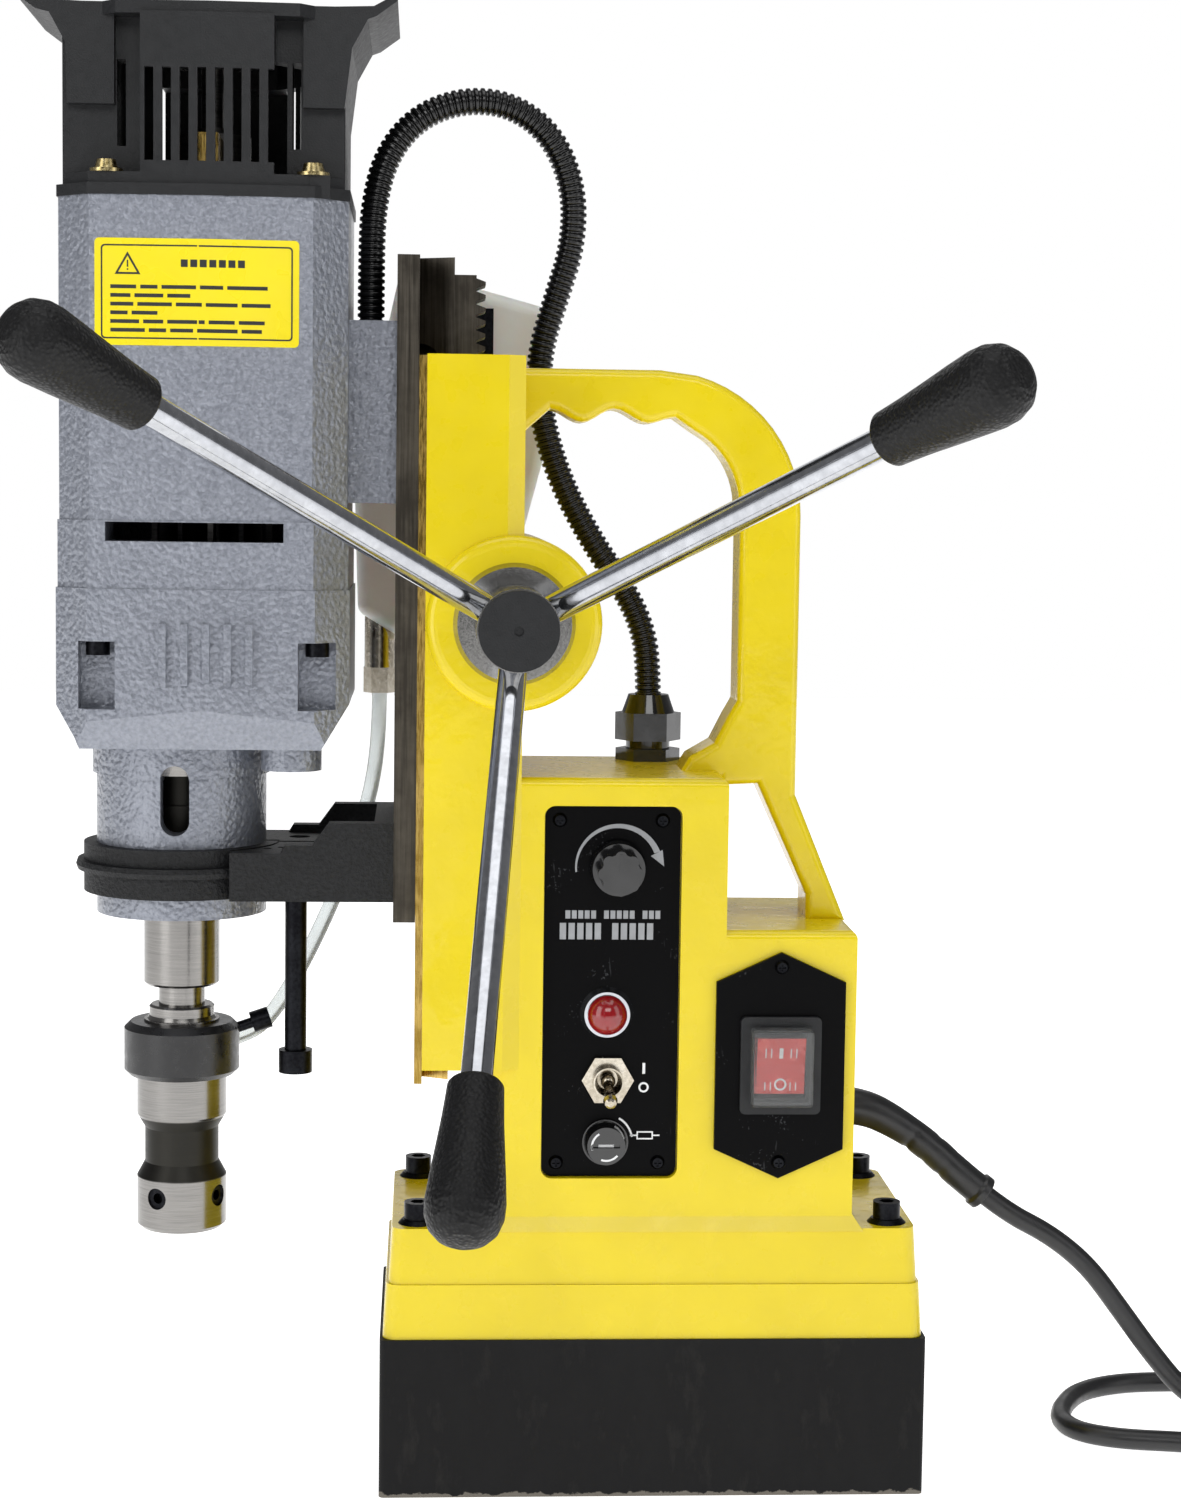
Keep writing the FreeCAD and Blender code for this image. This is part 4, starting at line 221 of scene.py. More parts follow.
def makeSatinEnamel():
    # satin enamel on the iron magnet: even black, scuffed grey, chipped to rust-brown along the foot
    material, tree, shader = startFinish("satinEnamelOnGroundIron", "#131314", 0.42, IOR=1.5, Specular_IOR_Level=0.14)
    space = textureSpace(tree)
    place = addNode(tree, "ShaderNodeTexCoord")
    parts = addNode(tree, "ShaderNodeSeparateXYZ", links={"Vector": place.outputs["Object"]})
    # worn most within 4 mm of the foot
    low = addNode(tree, "ShaderNodeMapRange", {"From Max": 4 * mm, "To Min": 0.66, "To Max": 0.0},
                  {"Value": parts.outputs["Z"]})
    chips = addNode(tree, "ShaderNodeTexNoise", {"Scale": metre / 5, "Detail": 5, "Roughness": 0.65},
                    {"Vector": space})
    worn = addNode(tree, "ShaderNodeMath", {"operation": "ADD"}, {0: low, 1: chips})
    chipped = addNode(tree, "ShaderNodeMapRange", {"From Min": 0.9, "From Max": 0.97}, {"Value": worn})
    scuffs = addNode(tree, "ShaderNodeTexNoise", {"Scale": metre / 9, "Detail": 7, "Roughness": 0.72},
                     {"Vector": textureSpace(tree, (1, 1, 0.35))})
    scuffed = addNode(tree, "ShaderNodeMapRange", {"From Min": 0.56, "From Max": 0.74}, {"Value": scuffs})
    body = addNode(tree, "ShaderNodeMix", {"data_type": "RGBA", 6: toLinear("#121213"), 7: toLinear("#232221")},
                   {"Factor": scuffed})
    rough = addNode(tree, "ShaderNodeMapRange", {"From Min": 0.3, "From Max": 0.7, "To Min": 0.36, "To Max": 0.62},
                    {"Value": scuffs})
    skin = addNode(tree, "ShaderNodeTexNoise", {"Scale": metre / 3, "Detail": 3}, {"Vector": space})
    dressShader(tree, shader, chipped, body.outputs[2], "#6b665e", rough, (skin, 0.05), (chips, 0.06))
    return material


def makeMouldedPlastic(name, colour, light, roughness, grain, depth, **sockets):
    # grain and depth are the moulded skin's, in millimetres; broader patches shift its colour and shine
    material, tree, shader = startFinish(name, colour, roughness, IOR=1.53, **sockets)
    space = textureSpace(tree)
    patches = addNode(tree, "ShaderNodeTexNoise", {"Scale": metre / (grain * 6), "Detail": 3}, {"Vector": space})
    tint = addNode(tree, "ShaderNodeMapRange", {"From Min": 0.3, "From Max": 0.7}, {"Value": patches})
    shine = addNode(tree, "ShaderNodeTexNoise", {"Scale": metre / (grain * 3)}, {"Vector": space})
    rough = addNode(tree, "ShaderNodeMapRange", {"From Min": 0.3, "From Max": 0.7, "To Min": roughness - 0.06,
                                                 "To Max": roughness + 0.08}, {"Value": shine})
    skin = addNode(tree, "ShaderNodeTexNoise", {"Scale": metre / grain}, {"Vector": space})
    dressShader(tree, shader, tint, colour, light, rough, (skin, depth))
    return material


def makeLeatherGrip():
    # soft-touch plastic grip moulded with a leather grain: matt, creased in little cells
    material, tree, shader = startFinish("leatherGrainedGripPlastic", "#0c0c0d", 0.42, IOR=1.5,
                                         Specular_IOR_Level=0.25)
    space = textureSpace(tree)
    # the moulded cells are about 0.9 mm, drawn at 1.3 mm so they show
    cells = addNode(tree, "ShaderNodeTexVoronoi", {"feature": "SMOOTH_F1", "Scale": metre / 1.3, "Smoothness": 0.5},
                    {"Vector": space})
    # painted shade: the sunken creases between cells are coloured darker than the cell middles
    tint = addNode(tree, "ShaderNodeMapRange", {"From Min": 0.1, "From Max": 0.6}, {"Value": cells})
    rough = addNode(tree, "ShaderNodeMapRange", {"From Min": 0.1, "From Max": 0.6, "To Min": 0.34, "To Max": 0.5},
                    {"Value": cells})
    folds = addNode(tree, "ShaderNodeTexNoise", {"Scale": metre / 3.5}, {"Vector": space})
    dressShader(tree, shader, tint, "#141415", "#0a0a0b", rough, (cells, -0.35), (folds, 0.12))
    return material


def makeMetal(name, colour, dark, roughness, stretch=(1, 1, 1), line=0.5, depth=0.004, swing=0.08, **sockets):
    # stretch draws out the tool marks, line and depth are theirs in millimetres, swing is their change of roughness
    material, tree, shader = startFinish(name, colour, roughness, 1.0, **sockets)
    marks = addNode(tree, "ShaderNodeTexNoise", {"Scale": metre / line, "Detail": 3},
                    {"Vector": textureSpace(tree, stretch)})
    stains = addNode(tree, "ShaderNodeTexNoise", {"Scale": metre / 14, "Detail": 4, "Roughness": 0.6},
                     {"Vector": textureSpace(tree)})
    both = addNode(tree, "ShaderNodeMath", {"operation": "MULTIPLY"}, {0: marks, 1: stains})
    tint = addNode(tree, "ShaderNodeMapRange", {"From Min": 0.15, "From Max": 0.36}, {"Value": both})
    rough = addNode(tree, "ShaderNodeMapRange", {"From Min": 0.3, "From Max": 0.7, "To Min": roughness - swing,
                                                 "To Max": roughness + swing}, {"Value": marks})
    dressShader(tree, shader, tint, dark, colour, rough, (marks, depth))
    return material


def makeClear(name, colour, roughness, transmission, **sockets):
    # clear vinyl, dulled in patches by a haze
    material, tree, shader = startFinish(name, colour, roughness, Transmission_Weight=transmission, **sockets)
    space = textureSpace(tree)
    haze = addNode(tree, "ShaderNodeTexNoise", {"Scale": metre / 12, "Detail": 3}, {"Vector": space})
    tint = addNode(tree, "ShaderNodeMapRange", {"From Min": 0.3, "From Max": 0.7, "To Max": 0.25}, {"Value": haze})
    rough = addNode(tree, "ShaderNodeMapRange", {"From Min": 0.3, "From Max": 0.7, "To Min": roughness,
                                                 "To Max": roughness + 0.1}, {"Value": haze})
    ripple = addNode(tree, "ShaderNodeTexNoise", {"Scale": metre / 4}, {"Vector": space})
    dressShader(tree, shader, tint, colour, "#dfe2e2", rough, (ripple, 0.03))
    return material


def makePanelBlack():
    # powder-coated steel sheet: flat black with a few pale scratches and specks of dust
    material, tree, shader = startFinish("powderCoatedSheetSteel", "#060607", 0.36, IOR=1.5, Specular_IOR_Level=0.06)
    space = textureSpace(tree)
    scratches = addNode(tree, "ShaderNodeTexNoise", {"Scale": metre / 1.3},
                        {"Vector": textureSpace(tree, (1.0, 1.0, 0.12))})
    specks = addNode(tree, "ShaderNodeTexNoise", {"Scale": metre / 1.1, "Detail": 1}, {"Vector": space})
    patchy = addNode(tree, "ShaderNodeTexNoise", {"Scale": metre / 18}, {"Vector": space})
    marks = addNode(tree, "ShaderNodeMath", {"operation": "MULTIPLY"}, {0: scratches, 1: patchy})
    dust = addNode(tree, "ShaderNodeMath", {"operation": "MULTIPLY"}, {0: specks, 1: patchy})
    both = addNode(tree, "ShaderNodeMath", {"operation": "MAXIMUM"}, {0: marks, 1: dust})
    pale = addNode(tree, "ShaderNodeMapRange", {"From Min": 0.43, "From Max": 0.52}, {"Value": both})
    coat = addNode(tree, "ShaderNodeTexNoise", {"Scale": metre / 0.8}, {"Vector": space})
    dressShader(tree, shader, pale, "#060607", "#3a3b3d", None, (coat, 0.02))
    return material


def makeWinding():
    # enamelled copper wire wound in layers of 1 mm: glossy red-brown lines
    material, tree, shader = startFinish("enamelledCopperWinding", "#8a3f1c", 0.25, 1.0)
    wires = addNode(tree, "ShaderNodeTexWave", {"bands_direction": "Z", "Scale": metre / 1.0 / 6.283,
                                                "Distortion": 0.3}, {"Vector": textureSpace(tree)}).outputs["Fac"]
    # painted shade and highlight: the grooves between turns are coloured darker and the crown of each turn lighter
    dressShader(tree, shader, wires, "#5a230d", "#b0602f", None, (wires, 0.3))
    return material


def makeCircuitBoard():
    # solder-masked fibreglass board: green, with paler copper tracks about 7 mm apart under it
    material, tree, shader = startFinish("solderMaskedFibreglass", "#0d4a22", 0.35, IOR=1.5)
    tracks = addNode(tree, "ShaderNodeTexVoronoi", {"feature": "DISTANCE_TO_EDGE", "distance": "EUCLIDEAN",
                                                     "Scale": metre / 7}, {"Vector": textureSpace(tree)})
    masked = addNode(tree, "ShaderNodeMapRange", {"From Min": 0.06, "From Max": 0.1, "To Min": 1, "To Max": 0},
                     {"Value": tracks})
    dressShader(tree, shader, masked, "#0b3d1d", "#2c7a3d", None, (tracks, 0.05))
    return material


def makeDarkBandedSteel(name, foot, top):
    # ground steel, darkened between two heights in millimetres: bright rings on each side of a dark band, which is
    # real blacking on the arbor and painted shade on the spindle where it runs inside the sleeve
    material, tree, shader = startFinish(name, "#b9b7b4", 0.22, 1.0)
    place = addNode(tree, "ShaderNodeTexCoord")
    parts = addNode(tree, "ShaderNodeSeparateXYZ", links={"Vector": place.outputs["Object"]})
    soft = 0.3  # half the width of the band's edge
    above = addNode(tree, "ShaderNodeMapRange", {"From Min": (foot - soft) * mm, "From Max": (foot + soft) * mm},
                    {"Value": parts.outputs["Z"]})
    below = addNode(tree, "ShaderNodeMapRange", {"From Min": (top - soft) * mm, "From Max": (top + soft) * mm,
                                                 "To Min": 1, "To Max": 0}, {"Value": parts.outputs["Z"]})
    waist = addNode(tree, "ShaderNodeMath", {"operation": "MULTIPLY"}, {0: above, 1: below})
    rings = addNode(tree, "ShaderNodeTexNoise", {"Scale": metre / 0.3, "Detail": 3},
                    {"Vector": textureSpace(tree, (0.02, 0.02, 1))})
    ringed = addNode(tree, "ShaderNodeMapRange", {"From Min": 0.3, "From Max": 0.7}, {"Value": rings})
    bright = addNode(tree, "ShaderNodeMix", {"data_type": "RGBA", 6: toLinear("#7a7876"), 7: toLinear("#918f8c")},
                     {"Factor": ringed})
    dull = addNode(tree, "ShaderNodeMath", {"operation": "MULTIPLY", 1: 0.22}, {0: waist})
    ground = addNode(tree, "ShaderNodeMapRange", {"From Min": 0.3, "From Max": 0.7, "To Min": 0.16, "To Max": 0.26},
                     {"Value": rings})
    rough = addNode(tree, "ShaderNodeMath", {"operation": "ADD"}, {0: dull, 1: ground})
    dressShader(tree, shader, waist, bright.outputs[2], "#33322f", rough, (rings, 0.004))
    return material


def makePlugPvc():
    # moulded PVC plug: soft black body, with brass blades past its face
    material, tree, shader = startFinish("mouldedPvcWithBrassBlades", "#121213", 0.45, IOR=1.5)
    face = 429.4  # where the body ends and the blades start, in millimetres
    place = addNode(tree, "ShaderNodeTexCoord")
    parts = addNode(tree, "ShaderNodeSeparateXYZ", links={"Vector": place.outputs["Object"]})
    blades = addNode(tree, "ShaderNodeMapRange", {"From Min": (face - 0.1) * mm, "From Max": (face + 0.1) * mm},
                     {"Value": parts.outputs["X"]})
    skin = addNode(tree, "ShaderNodeTexNoise", {"Scale": metre / 1.2}, {"Vector": textureSpace(tree)})
    rough = addNode(tree, "ShaderNodeMapRange", {"From Min": 0.3, "From Max": 0.7, "To Min": 0.35, "To Max": 0.55},
                    {"Value": skin})
    tree.links.new(blades.outputs[0], shader.inputs["Metallic"])
    dressShader(tree, shader, blades, "#131314", "#c9a85a", rough, (skin, 0.05))
    return material


finishes = {
    "yellowEnamel": makeGlossEnamel(),
    "hammertone": makeHammertone(),
    "wrinkleBlack": makeWrinkleEnamel(),
    "magnetBlack": makeSatinEnamel(),
    "gripPlastic": makeLeatherGrip(),
    "panelBlack": makePanelBlack(),
    "winding": makeWinding(),
    "board": makeCircuitBoard(),
    "plugPvc": makePlugPvc(),
    "arborSteel": makeDarkBandedSteel("groundArborBlackedWaist", 108.5, 131.1),
    # painted shade: the spindle is coloured dark from 208.5 mm up, where it runs inside the sleeve and gear housing
    "spindleSteel": makeDarkBandedSteel("groundSpindlePaintedShadeInside", 208.5, 500),
    # glass-filled ABS cap: grey-black with a fine spark-eroded grain of 0.7 mm
    "capAbs": makeMouldedPlastic("grainedAbs", "#141517", "#1a1b1d", 0.46, grain=0.7, depth=0.09,
                                 Specular_IOR_Level=0.35),
    # glossy phenolic parts: near mirror black
    "glossBlack": makeMouldedPlastic("polishedPhenolic", "#0b0b0c", "#0e0e0f", 0.14, grain=2.5, depth=0.01,
                                     Coat_Weight=0.5, Coat_Roughness=0.05),
    # PVC-sheathed lead and boot: soft satin with a slight drag texture
    "cordPvc": makeMouldedPlastic("extrudedPvc", "#141416", "#1b1b1d", 0.38, grain=2.0, depth=0.03),
    # nylon conduit: hard shine on every rib
    "conduitNylon": makeMouldedPlastic("corrugatedNylon", "#080809", "#0d0d0e", 0.2, grain=1.2, depth=0.01),
    # turned acetal ring: waxy black with an even, low shine
    "ringAcetal": makeMouldedPlastic("turnedAcetal", "#111113", "#18181a", 0.3, grain=1.0, depth=0.012),
    # polyethylene tank, blow-moulded: milky, soft and slightly see-through
    "tankPlastic": makeMouldedPlastic("blowMouldedPolyethylene", "#e4e4dc", "#ecece6", 0.4, grain=3.0, depth=0.08,
                                      Transmission_Weight=0.35, Subsurface_Weight=0.25),
    # bright chromium on steel rod: a mirror with faint polishing lines
    "chrome": makeMetal("brightChromeOnSteel", "#bdbfc4", "#abadb2", 0.13, line=3.0, depth=0.006, swing=0.04),
    # nickel-plated brass fittings: a warm, soft shine
    "nickel": makeMetal("nickelPlatedBrass", "#cdc6b8", "#a59c8b", 0.2, line=1.5, depth=0.006),
    # ground steel shafts: rings left by the wheel, fine and level
    "turnedSteel": makeMetal("cylinderGroundSteel", "#b4b1ad", "#a4a19d", 0.22, (0.02, 0.02, 1), 0.35, 0.004, 0.05),
    # milled and oiled steel slide: dark brown-grey with cutter lines up its length
    "slideSteel": makeMetal("oiledMilledSteel", "#5c574f", "#433f39", 0.4, (1, 1, 0.03), 0.8, 0.01),
    # faced steel hub: bright, with fine turning lines
    "facedSteel": makeMetal("facedSteel", "#b9b8b6", "#aaa9a6", 0.16, (1, 0.05, 1), 0.6, 0.002, 0.04),
    # chemically blacked screws: oily, blue-black
    "blackOxide": makeMetal("blackOxideSteel", "#232427", "#151518", 0.36, line=1.2, depth=0.012),
    # machined brass: yellow, with tool marks up its length
    "brass": makeMetal("machinedBrass", "#c9ab63", "#8f7434", 0.28, (1, 1, 0.1), 0.6, 0.008),
    # yellow-passivated zinc on steel screws: pale gold, uneven
    "zincYellow": makeMetal("yellowPassivatedSteel", "#cdbd8d", "#a58f56", 0.26, line=1.2, depth=0.008),
    # stacked iron laminations: grey, in thin level layers
    "stampedIron": makeMetal("laminatedIron", "#6c6a68", "#4a4846", 0.42, (0.05, 0.05, 1), 0.6, 0.05),
    # moulded polycarbonate lens and rocker: deep red with a wet front
    "redLens": makeMouldedPlastic("tintedPolycarbonate", "#8d0a12", "#a30f18", 0.12, grain=4.0, depth=0.02,
                                  Transmission_Weight=0.25, Coat_Weight=0.6, Coat_Roughness=0.04),
    "rockerRed": makeMouldedPlastic("mouldedRockerPolycarbonate", "#d3200f", "#df2f18", 0.25, grain=3.0, depth=0.02,
                                    Transmission_Weight=0.15),
    # clear PVC switch cover and hose: see-through with a soft haze
    "clearCover": makeClear("clearVinylCover", "#f2f4f4", 0.05, 0.96, IOR=1.3),
    "clearHose": makeClear("clearVinylHose", "#e8eeee", 0.16, 0.8, IOR=1.4),
    # cast epoxy round the winding: smooth black-brown
    "pottingResin": makeMouldedPlastic("castEpoxyResin", "#1b1a19", "#232120", 0.22, grain=6.0, depth=0.05),
    # screen-printed marks: matt ink
    "inkGrey": makeMouldedPlastic("screenPrintedGreyInk", "#8b8d90", "#9a9c9f", 0.55, grain=1.0, depth=0.004),
    "inkWhite": makeMouldedPlastic("screenPrintedWhiteInk", "#dcdedf", "#e8e9ea", 0.55, grain=1.0, depth=0.004),
    "inkBlack": makeMouldedPlastic("screenPrintedBlackInk", "#17181a", "#202123", 0.5, grain=1.0, depth=0.004),
    # printed vinyl label: smooth, with a low even gloss
    "labelVinyl": makeMouldedPlastic("glossVinylLabel", "#efdc1e", "#e8d41a", 0.3, grain=5.0, depth=0.01),
}
print("finishes made:", len(finishes))

wornBy = {
    "yellowEnamel": ["base_plate", "stand_casting"],
    "hammertone": ["motor_housing", "fan_housing", "gear_housing", "spindle_sleeve"],
    "wrinkleBlack": ["arm"],
    "magnetBlack": ["magnet_core"],
    "gripPlastic": ["grips"],
    "panelBlack": ["control_panel", "switch_panel", "rear_cover"],
    "winding": ["magnet_coil"],
    "board": ["control_board"],
    "plugPvc": ["mains_plug"],
    "capAbs": ["motor_cap", "rocker_bezel", "hub_cap"],
    "glossBlack": ["speed_knob", "fuse_holder", "fuse_cap", "gland"],
    "ringAcetal": ["inlet_ring"],
    "tankPlastic": ["coolant_tank"],
    "chrome": ["spokes", "lamp_bezel"],
    "nickel": ["toggle_switch", "toggle_lever", "coolant_valve", "speed_pot"],
    "turnedSteel": ["bearings", "layshaft"],
    "spindleSteel": ["spindle"],
    "arborSteel": ["arbor"],
    "slideSteel": ["slide", "rack"],
    "facedSteel": ["feed_bushes", "feed_shaft"],
    "blackOxide": ["base_bolts", "panel_screws", "slide_screws", "gear_screws", "arm_bolt", "ring_screw",
                   "arbor_screws", "tank_bracket"],
    "brass": ["gib_strips", "brush_holders"],
    "zincYellow": ["cap_screws"],
    "stampedIron": ["stator", "armature"],
    "redLens": ["lamp_lens"],
    "rockerRed": ["rocker"],
    "clearCover": ["rocker_cover"],
    "pottingResin": ["magnet_potting"],
}


def wearFinishes():
    for finish, names in wornBy.items():
        for name in names:
            for slot in cadNodes[name].material_slots:
                slot.material = finishes[finish]


# cords


def splineOf(name, route, depth=0.0, resolution=6):
    data = bpy.data.curves.new(name, "CURVE")
    data.dimensions = "3D"
    data.resolution_u = resolution
    line = data.splines.new("NURBS")
    line.points.add(len(route) - 1)
    for point, place in zip(line.points, route):
        point.co = (place[0] * mm, place[1] * mm, place[2] * mm, 1)
    line.order_u = 3
    line.use_endpoint_u = True
    data.bevel_depth = depth
    data.bevel_resolution = 5
    data.use_fill_caps = True
    piece = bpy.data.objects.new(name, data)
    bpy.context.scene.collection.objects.link(piece)
    return piece


def centreLine(route, step):
    # evenly spaced points of the route's own spline
    guide = splineOf("guide", route, resolution=24)
    bpy.context.view_layer.update()
    mesh = bpy.data.meshes.new_from_object(guide)
    line = [vertex.co.copy() for vertex in mesh.vertices]
    bpy.data.objects.remove(guide)
    bpy.data.meshes.remove(mesh)
    far = [0.0]
    for a, b in zip(line, line[1:]):
        far.append(far[-1] + (b - a).length)
    count = max(2, round(far[-1] / step))
    points, k = [], 0
    for i in range(count + 1):
        goal = far[-1] * i / count
        while k < len(far) - 2 and far[k + 1] < goal:
            k += 1
        share = (goal - far[k]) / max(far[k + 1] - far[k], 1e-9)
        points.append(line[k].lerp(line[k + 1], min(1, max(0, share))))
    return points, far[-1]


def sweep(name, line, radiusAt, sides, finish):
    # a closed tube whose radius may change along and around it
    form = bmesh.new()
    across = Vector((0, 1, 0))
    rings, far = [], 0.0
    for i, point in enumerate(line):
        ahead = (line[min(i + 1, len(line) - 1)] - line[max(i - 1, 0)]).normalized()
        across = (across - ahead * across.dot(ahead)).normalized()
        side = ahead.cross(across)
        if i:
            far += (point - line[i - 1]).length
        ring = []
        for k in range(sides):
            turn = 2 * math.pi * k / sides
            reach = radiusAt(far, turn)
            ring.append(form.verts.new(point + across * (reach * math.cos(turn)) + side * (reach * math.sin(turn))))
        rings.append(ring)
    for a, b in zip(rings, rings[1:]):
        for k in range(sides):
            form.faces.new((a[k], a[(k + 1) % sides], b[(k + 1) % sides], b[k]))
    form.faces.new(list(reversed(rings[0])))
    form.faces.new(rings[-1])
    return formToPiece(name, form, finish, True)


def formToPiece(name, form, finish, smooth=False):
    bmesh.ops.recalc_face_normals(form, faces=form.faces)
    mesh = bpy.data.meshes.new(name)
    form.to_mesh(mesh)
    form.free()
    mesh.materials.append(finishes[finish])
    if smooth:
        mesh.shade_smooth()
    piece = bpy.data.objects.new(name, mesh)
    bpy.context.scene.collection.objects.link(piece)
    return piece


lead = {
    "size": 8.0,
    "route": [(132.8, 15, 96.6), (143, 15.3, 88.6), (159.5, 15, 80.3), (175, 15, 67.8), (188, 15, 50.5),
              (200.6, 14.6, 33.5), (214, 13, 17.5), (232, 10, 8), (254, 17, 4.8), (268, 34, 4.6), (264, 55, 4.4),
              (246, 66, 4.4), (224, 67, 4.4), (202, 66, 4.3), (183, 56, 4.3), (172, 38, 4.2), (166.5, 20, 4.2),
              (171, 5.5, 4.2), (186, -3, 4.2), (208, -6.2, 4.1), (234, -13.5, 4.1), (262, -25.4, 4.1),
              (290.3, -36.1, 4.1), (311, -43.6, 4.1)],
    "coilCentre": (346, 0), "coilRadius": 53.2, "coilHeight": 4.1, "start": 250, "end": 2070, "step": 18,
    # the angle at which each change of turn ends, how far round it takes, and the radius and height after it
    "changes": [(605, 50, 45.0, 4.1), (965, 50, 36.8, 4.1), (1275, 60, 36.8, 12.2), (1570, 45, 45.0, 12.2),
                (1880, 45, 53.2, 12.2)],
    "tail": [(366, -53, 12.1), (386, -53, 12.1)],
}


def coilPoints():
    centre, points, angle = lead["coilCentre"], [], lead["start"]
    while angle <= lead["end"]:
        radius, height = lead["coilRadius"], lead["coilHeight"]
        for ends, takes, toRadius, toHeight in lead["changes"]:
            share = min(1, max(0, (angle - ends + takes) / takes))
            share = share * share * (3 - 2 * share)
            radius += (toRadius - radius) * share
            height += (toHeight - height) * share
        radius /= math.cos(math.radians(lead["step"] / 2))
        turn = math.radians(angle)
        points.append((centre[0] + radius * math.cos(turn), centre[1] + radius * math.sin(turn), height))
        angle += lead["step"]
    return points


def makeLead():
    route = lead["route"] + coilPoints() + lead["tail"]
    cord = splineOf("mainsLead", route, lead["size"] / 2 * mm)
    cord.data.materials.append(finishes["cordPvc"])
    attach(cord, "stand")
    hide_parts("mains_cord", "mains_coil")
    line, length = centreLine(route, 2 * mm)
    print("mains lead length", round(length, 4))


boot = {
    "route": [(72.4, 15, 131.6), (84, 15, 131.6), (99, 15.3, 124), (112, 15, 114.6), (122.4, 14.7, 104.8),
              (132.8, 15, 96.6)],
    "root": 7.6, "waist": 6.0, "flange": 8.7, "flangeThick": 2.4, "endRing": 6.9, "endThick": 3.2,
    # how far along the taper ends, then where the creases are and how wide, all as shares of the length
    "taper": 1 / 2.2, "creases": (0.62, 0.74, 0.5), "creaseWide": 0.02, "creaseDeep": 0.55,
}


def makeBoot():
    line, length = centreLine(boot["route"], 0.6 * mm)

    def radiusAt(far, turn):
        along = far / length
        reach = boot["root"] + (boot["waist"] - boot["root"]) * min(1, along / boot["taper"])
        if far < boot["flangeThick"] * mm:
            return boot["flange"] * mm
        if far > length - boot["endThick"] * mm:
            return boot["endRing"] * mm
        for k, at in enumerate(boot["creases"]):  # it buckles on its inner side where it bends
            off = along - at - boot["creaseWide"] * math.cos(turn)
            near = math.exp(-(off / boot["creaseWide"]) ** 2)
            reach -= boot["creaseDeep"] * near * (0.5 + 0.5 * math.cos(turn + 0.8 * k))
        return reach * mm
    piece = sweep("cordBoot", line, radiusAt, 40, "cordPvc")
    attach(piece, "stand")
    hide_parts("cord_boot")


conduit = {
    "route": [(-106.5, 8.3, 426.5), (-106.5, 8.3, 449), (-106, 9, 470), (-101.5, 10.5, 489), (-90, 12.5, 503.5),
              (-73, 14.5, 510.5), (-55, 17, 509.5), (-39.5, 20, 499), (-31, 23, 480), (-31, 26, 459),
              (-37, 28, 439), (-43, 29.4, 419), (-43, 30.4, 398), (-35, 31, 371), (-22.5, 31, 348),
              (-10.5, 31, 331), (-2.6, 30.5, 316), (0.5, 30, 299.6), (0.5, 30, 275.6)],
    "size": 10.0, "root": 8.2, "pitch": 2.5, "crest": 0.36, "flank": 0.12,  # the last two are shares of a pitch
}


def makeConduit():
    step = conduit["pitch"] / 10
    line, length = centreLine(conduit["route"], step * mm)

    def radiusAt(far, turn):
        phase = (far / mm / conduit["pitch"]) % 1  # one rounded rib and one groove in each pitch
        rib = min(1, max(0, (conduit["crest"] - abs(phase - 0.5)) / conduit["flank"]))
        return (conduit["root"] + (conduit["size"] - conduit["root"]) * rib) / 2 * mm
    piece = sweep("ribbedConduit", line, radiusAt, 28, "conduitNylon")
    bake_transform(piece)
    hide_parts("conduit")
    print("conduit length", round(length, 4))


hose = {
    "route": [(-103.4, 68, 286), (-103.4, 68, 270), (-106, 60, 248), (-113, 52, 226), (-121, 45, 205),
              (-130, 38.5, 186), (-140, 31, 168), (-150.3, 21.5, 157), (-161.8, 11.6, 157)],
    "size": 6.0,
}


def makeHose():
    piece = splineOf("coolantHose", hose["route"], hose["size"] / 2 * mm)
    piece.data.materials.append(finishes["clearHose"])
    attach(piece, "carriage")
    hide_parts("coolant_hose")
    line, length = centreLine(hose["route"], 2 * mm)
    print("coolant hose length", round(length, 4))


# printed marks and labels


skins = {}  # each node's faces, ready for a line to meet
ink = {"thick": 0.12, "sunk": 0.02, "dice": 4}  # millimetres


def frontOf(node, x, z):
    # where a line from 400 mm in front first meets the node, in metres
    if node not in skins:
        mesh = cadNodes[node].data
        skins[node] = BVHTree.FromPolygons([v.co.copy() for v in mesh.vertices],
                                            [tuple(p.vertices) for p in mesh.polygons])
    hit = skins[node].ray_cast(Vector((x * mm, -400 * mm, z * mm)), Vector((0, 1, 0)))
    return hit[0].y if hit[0] else 0.0


def printShapes(name, shapes, node, finish, body, thick=ink["thick"]):
    # each shape is an outline in millimetres, laid on the front of the node and given the ink's thickness
    form = bmesh.new()
    for outline in shapes:
        form.faces.new([form.verts.new((x * mm, 0, z * mm)) for x, z in outline])
    left, right = (pick(v.co.x for v in form.verts) / mm for pick in (min, max))
    for i in range(1, int((right - left) / ink["dice"]) + 1):  # cut into strips, to follow a crowned face
        bmesh.ops.bisect_plane(form, geom=form.verts[:] + form.edges[:] + form.faces[:],
                               plane_co=((left + ink["dice"] * i) * mm, 0, 0), plane_no=(1, 0, 0))
    for v in form.verts:
        v.co.y = frontOf(node, v.co.x / mm, v.co.z / mm) - ink["sunk"] * mm
    made = bmesh.ops.extrude_face_region(form, geom=form.faces[:])
    for v in made["geom"]:
        if isinstance(v, bmesh.types.BMVert):
            v.co.y -= thick * mm
    piece = formToPiece(name, form, finish)
    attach(piece, body)
    return piece


def bar(x0, z0, x1, z1):
    return [(x0, z0), (x1, z0), (x1, z1), (x0, z1)]


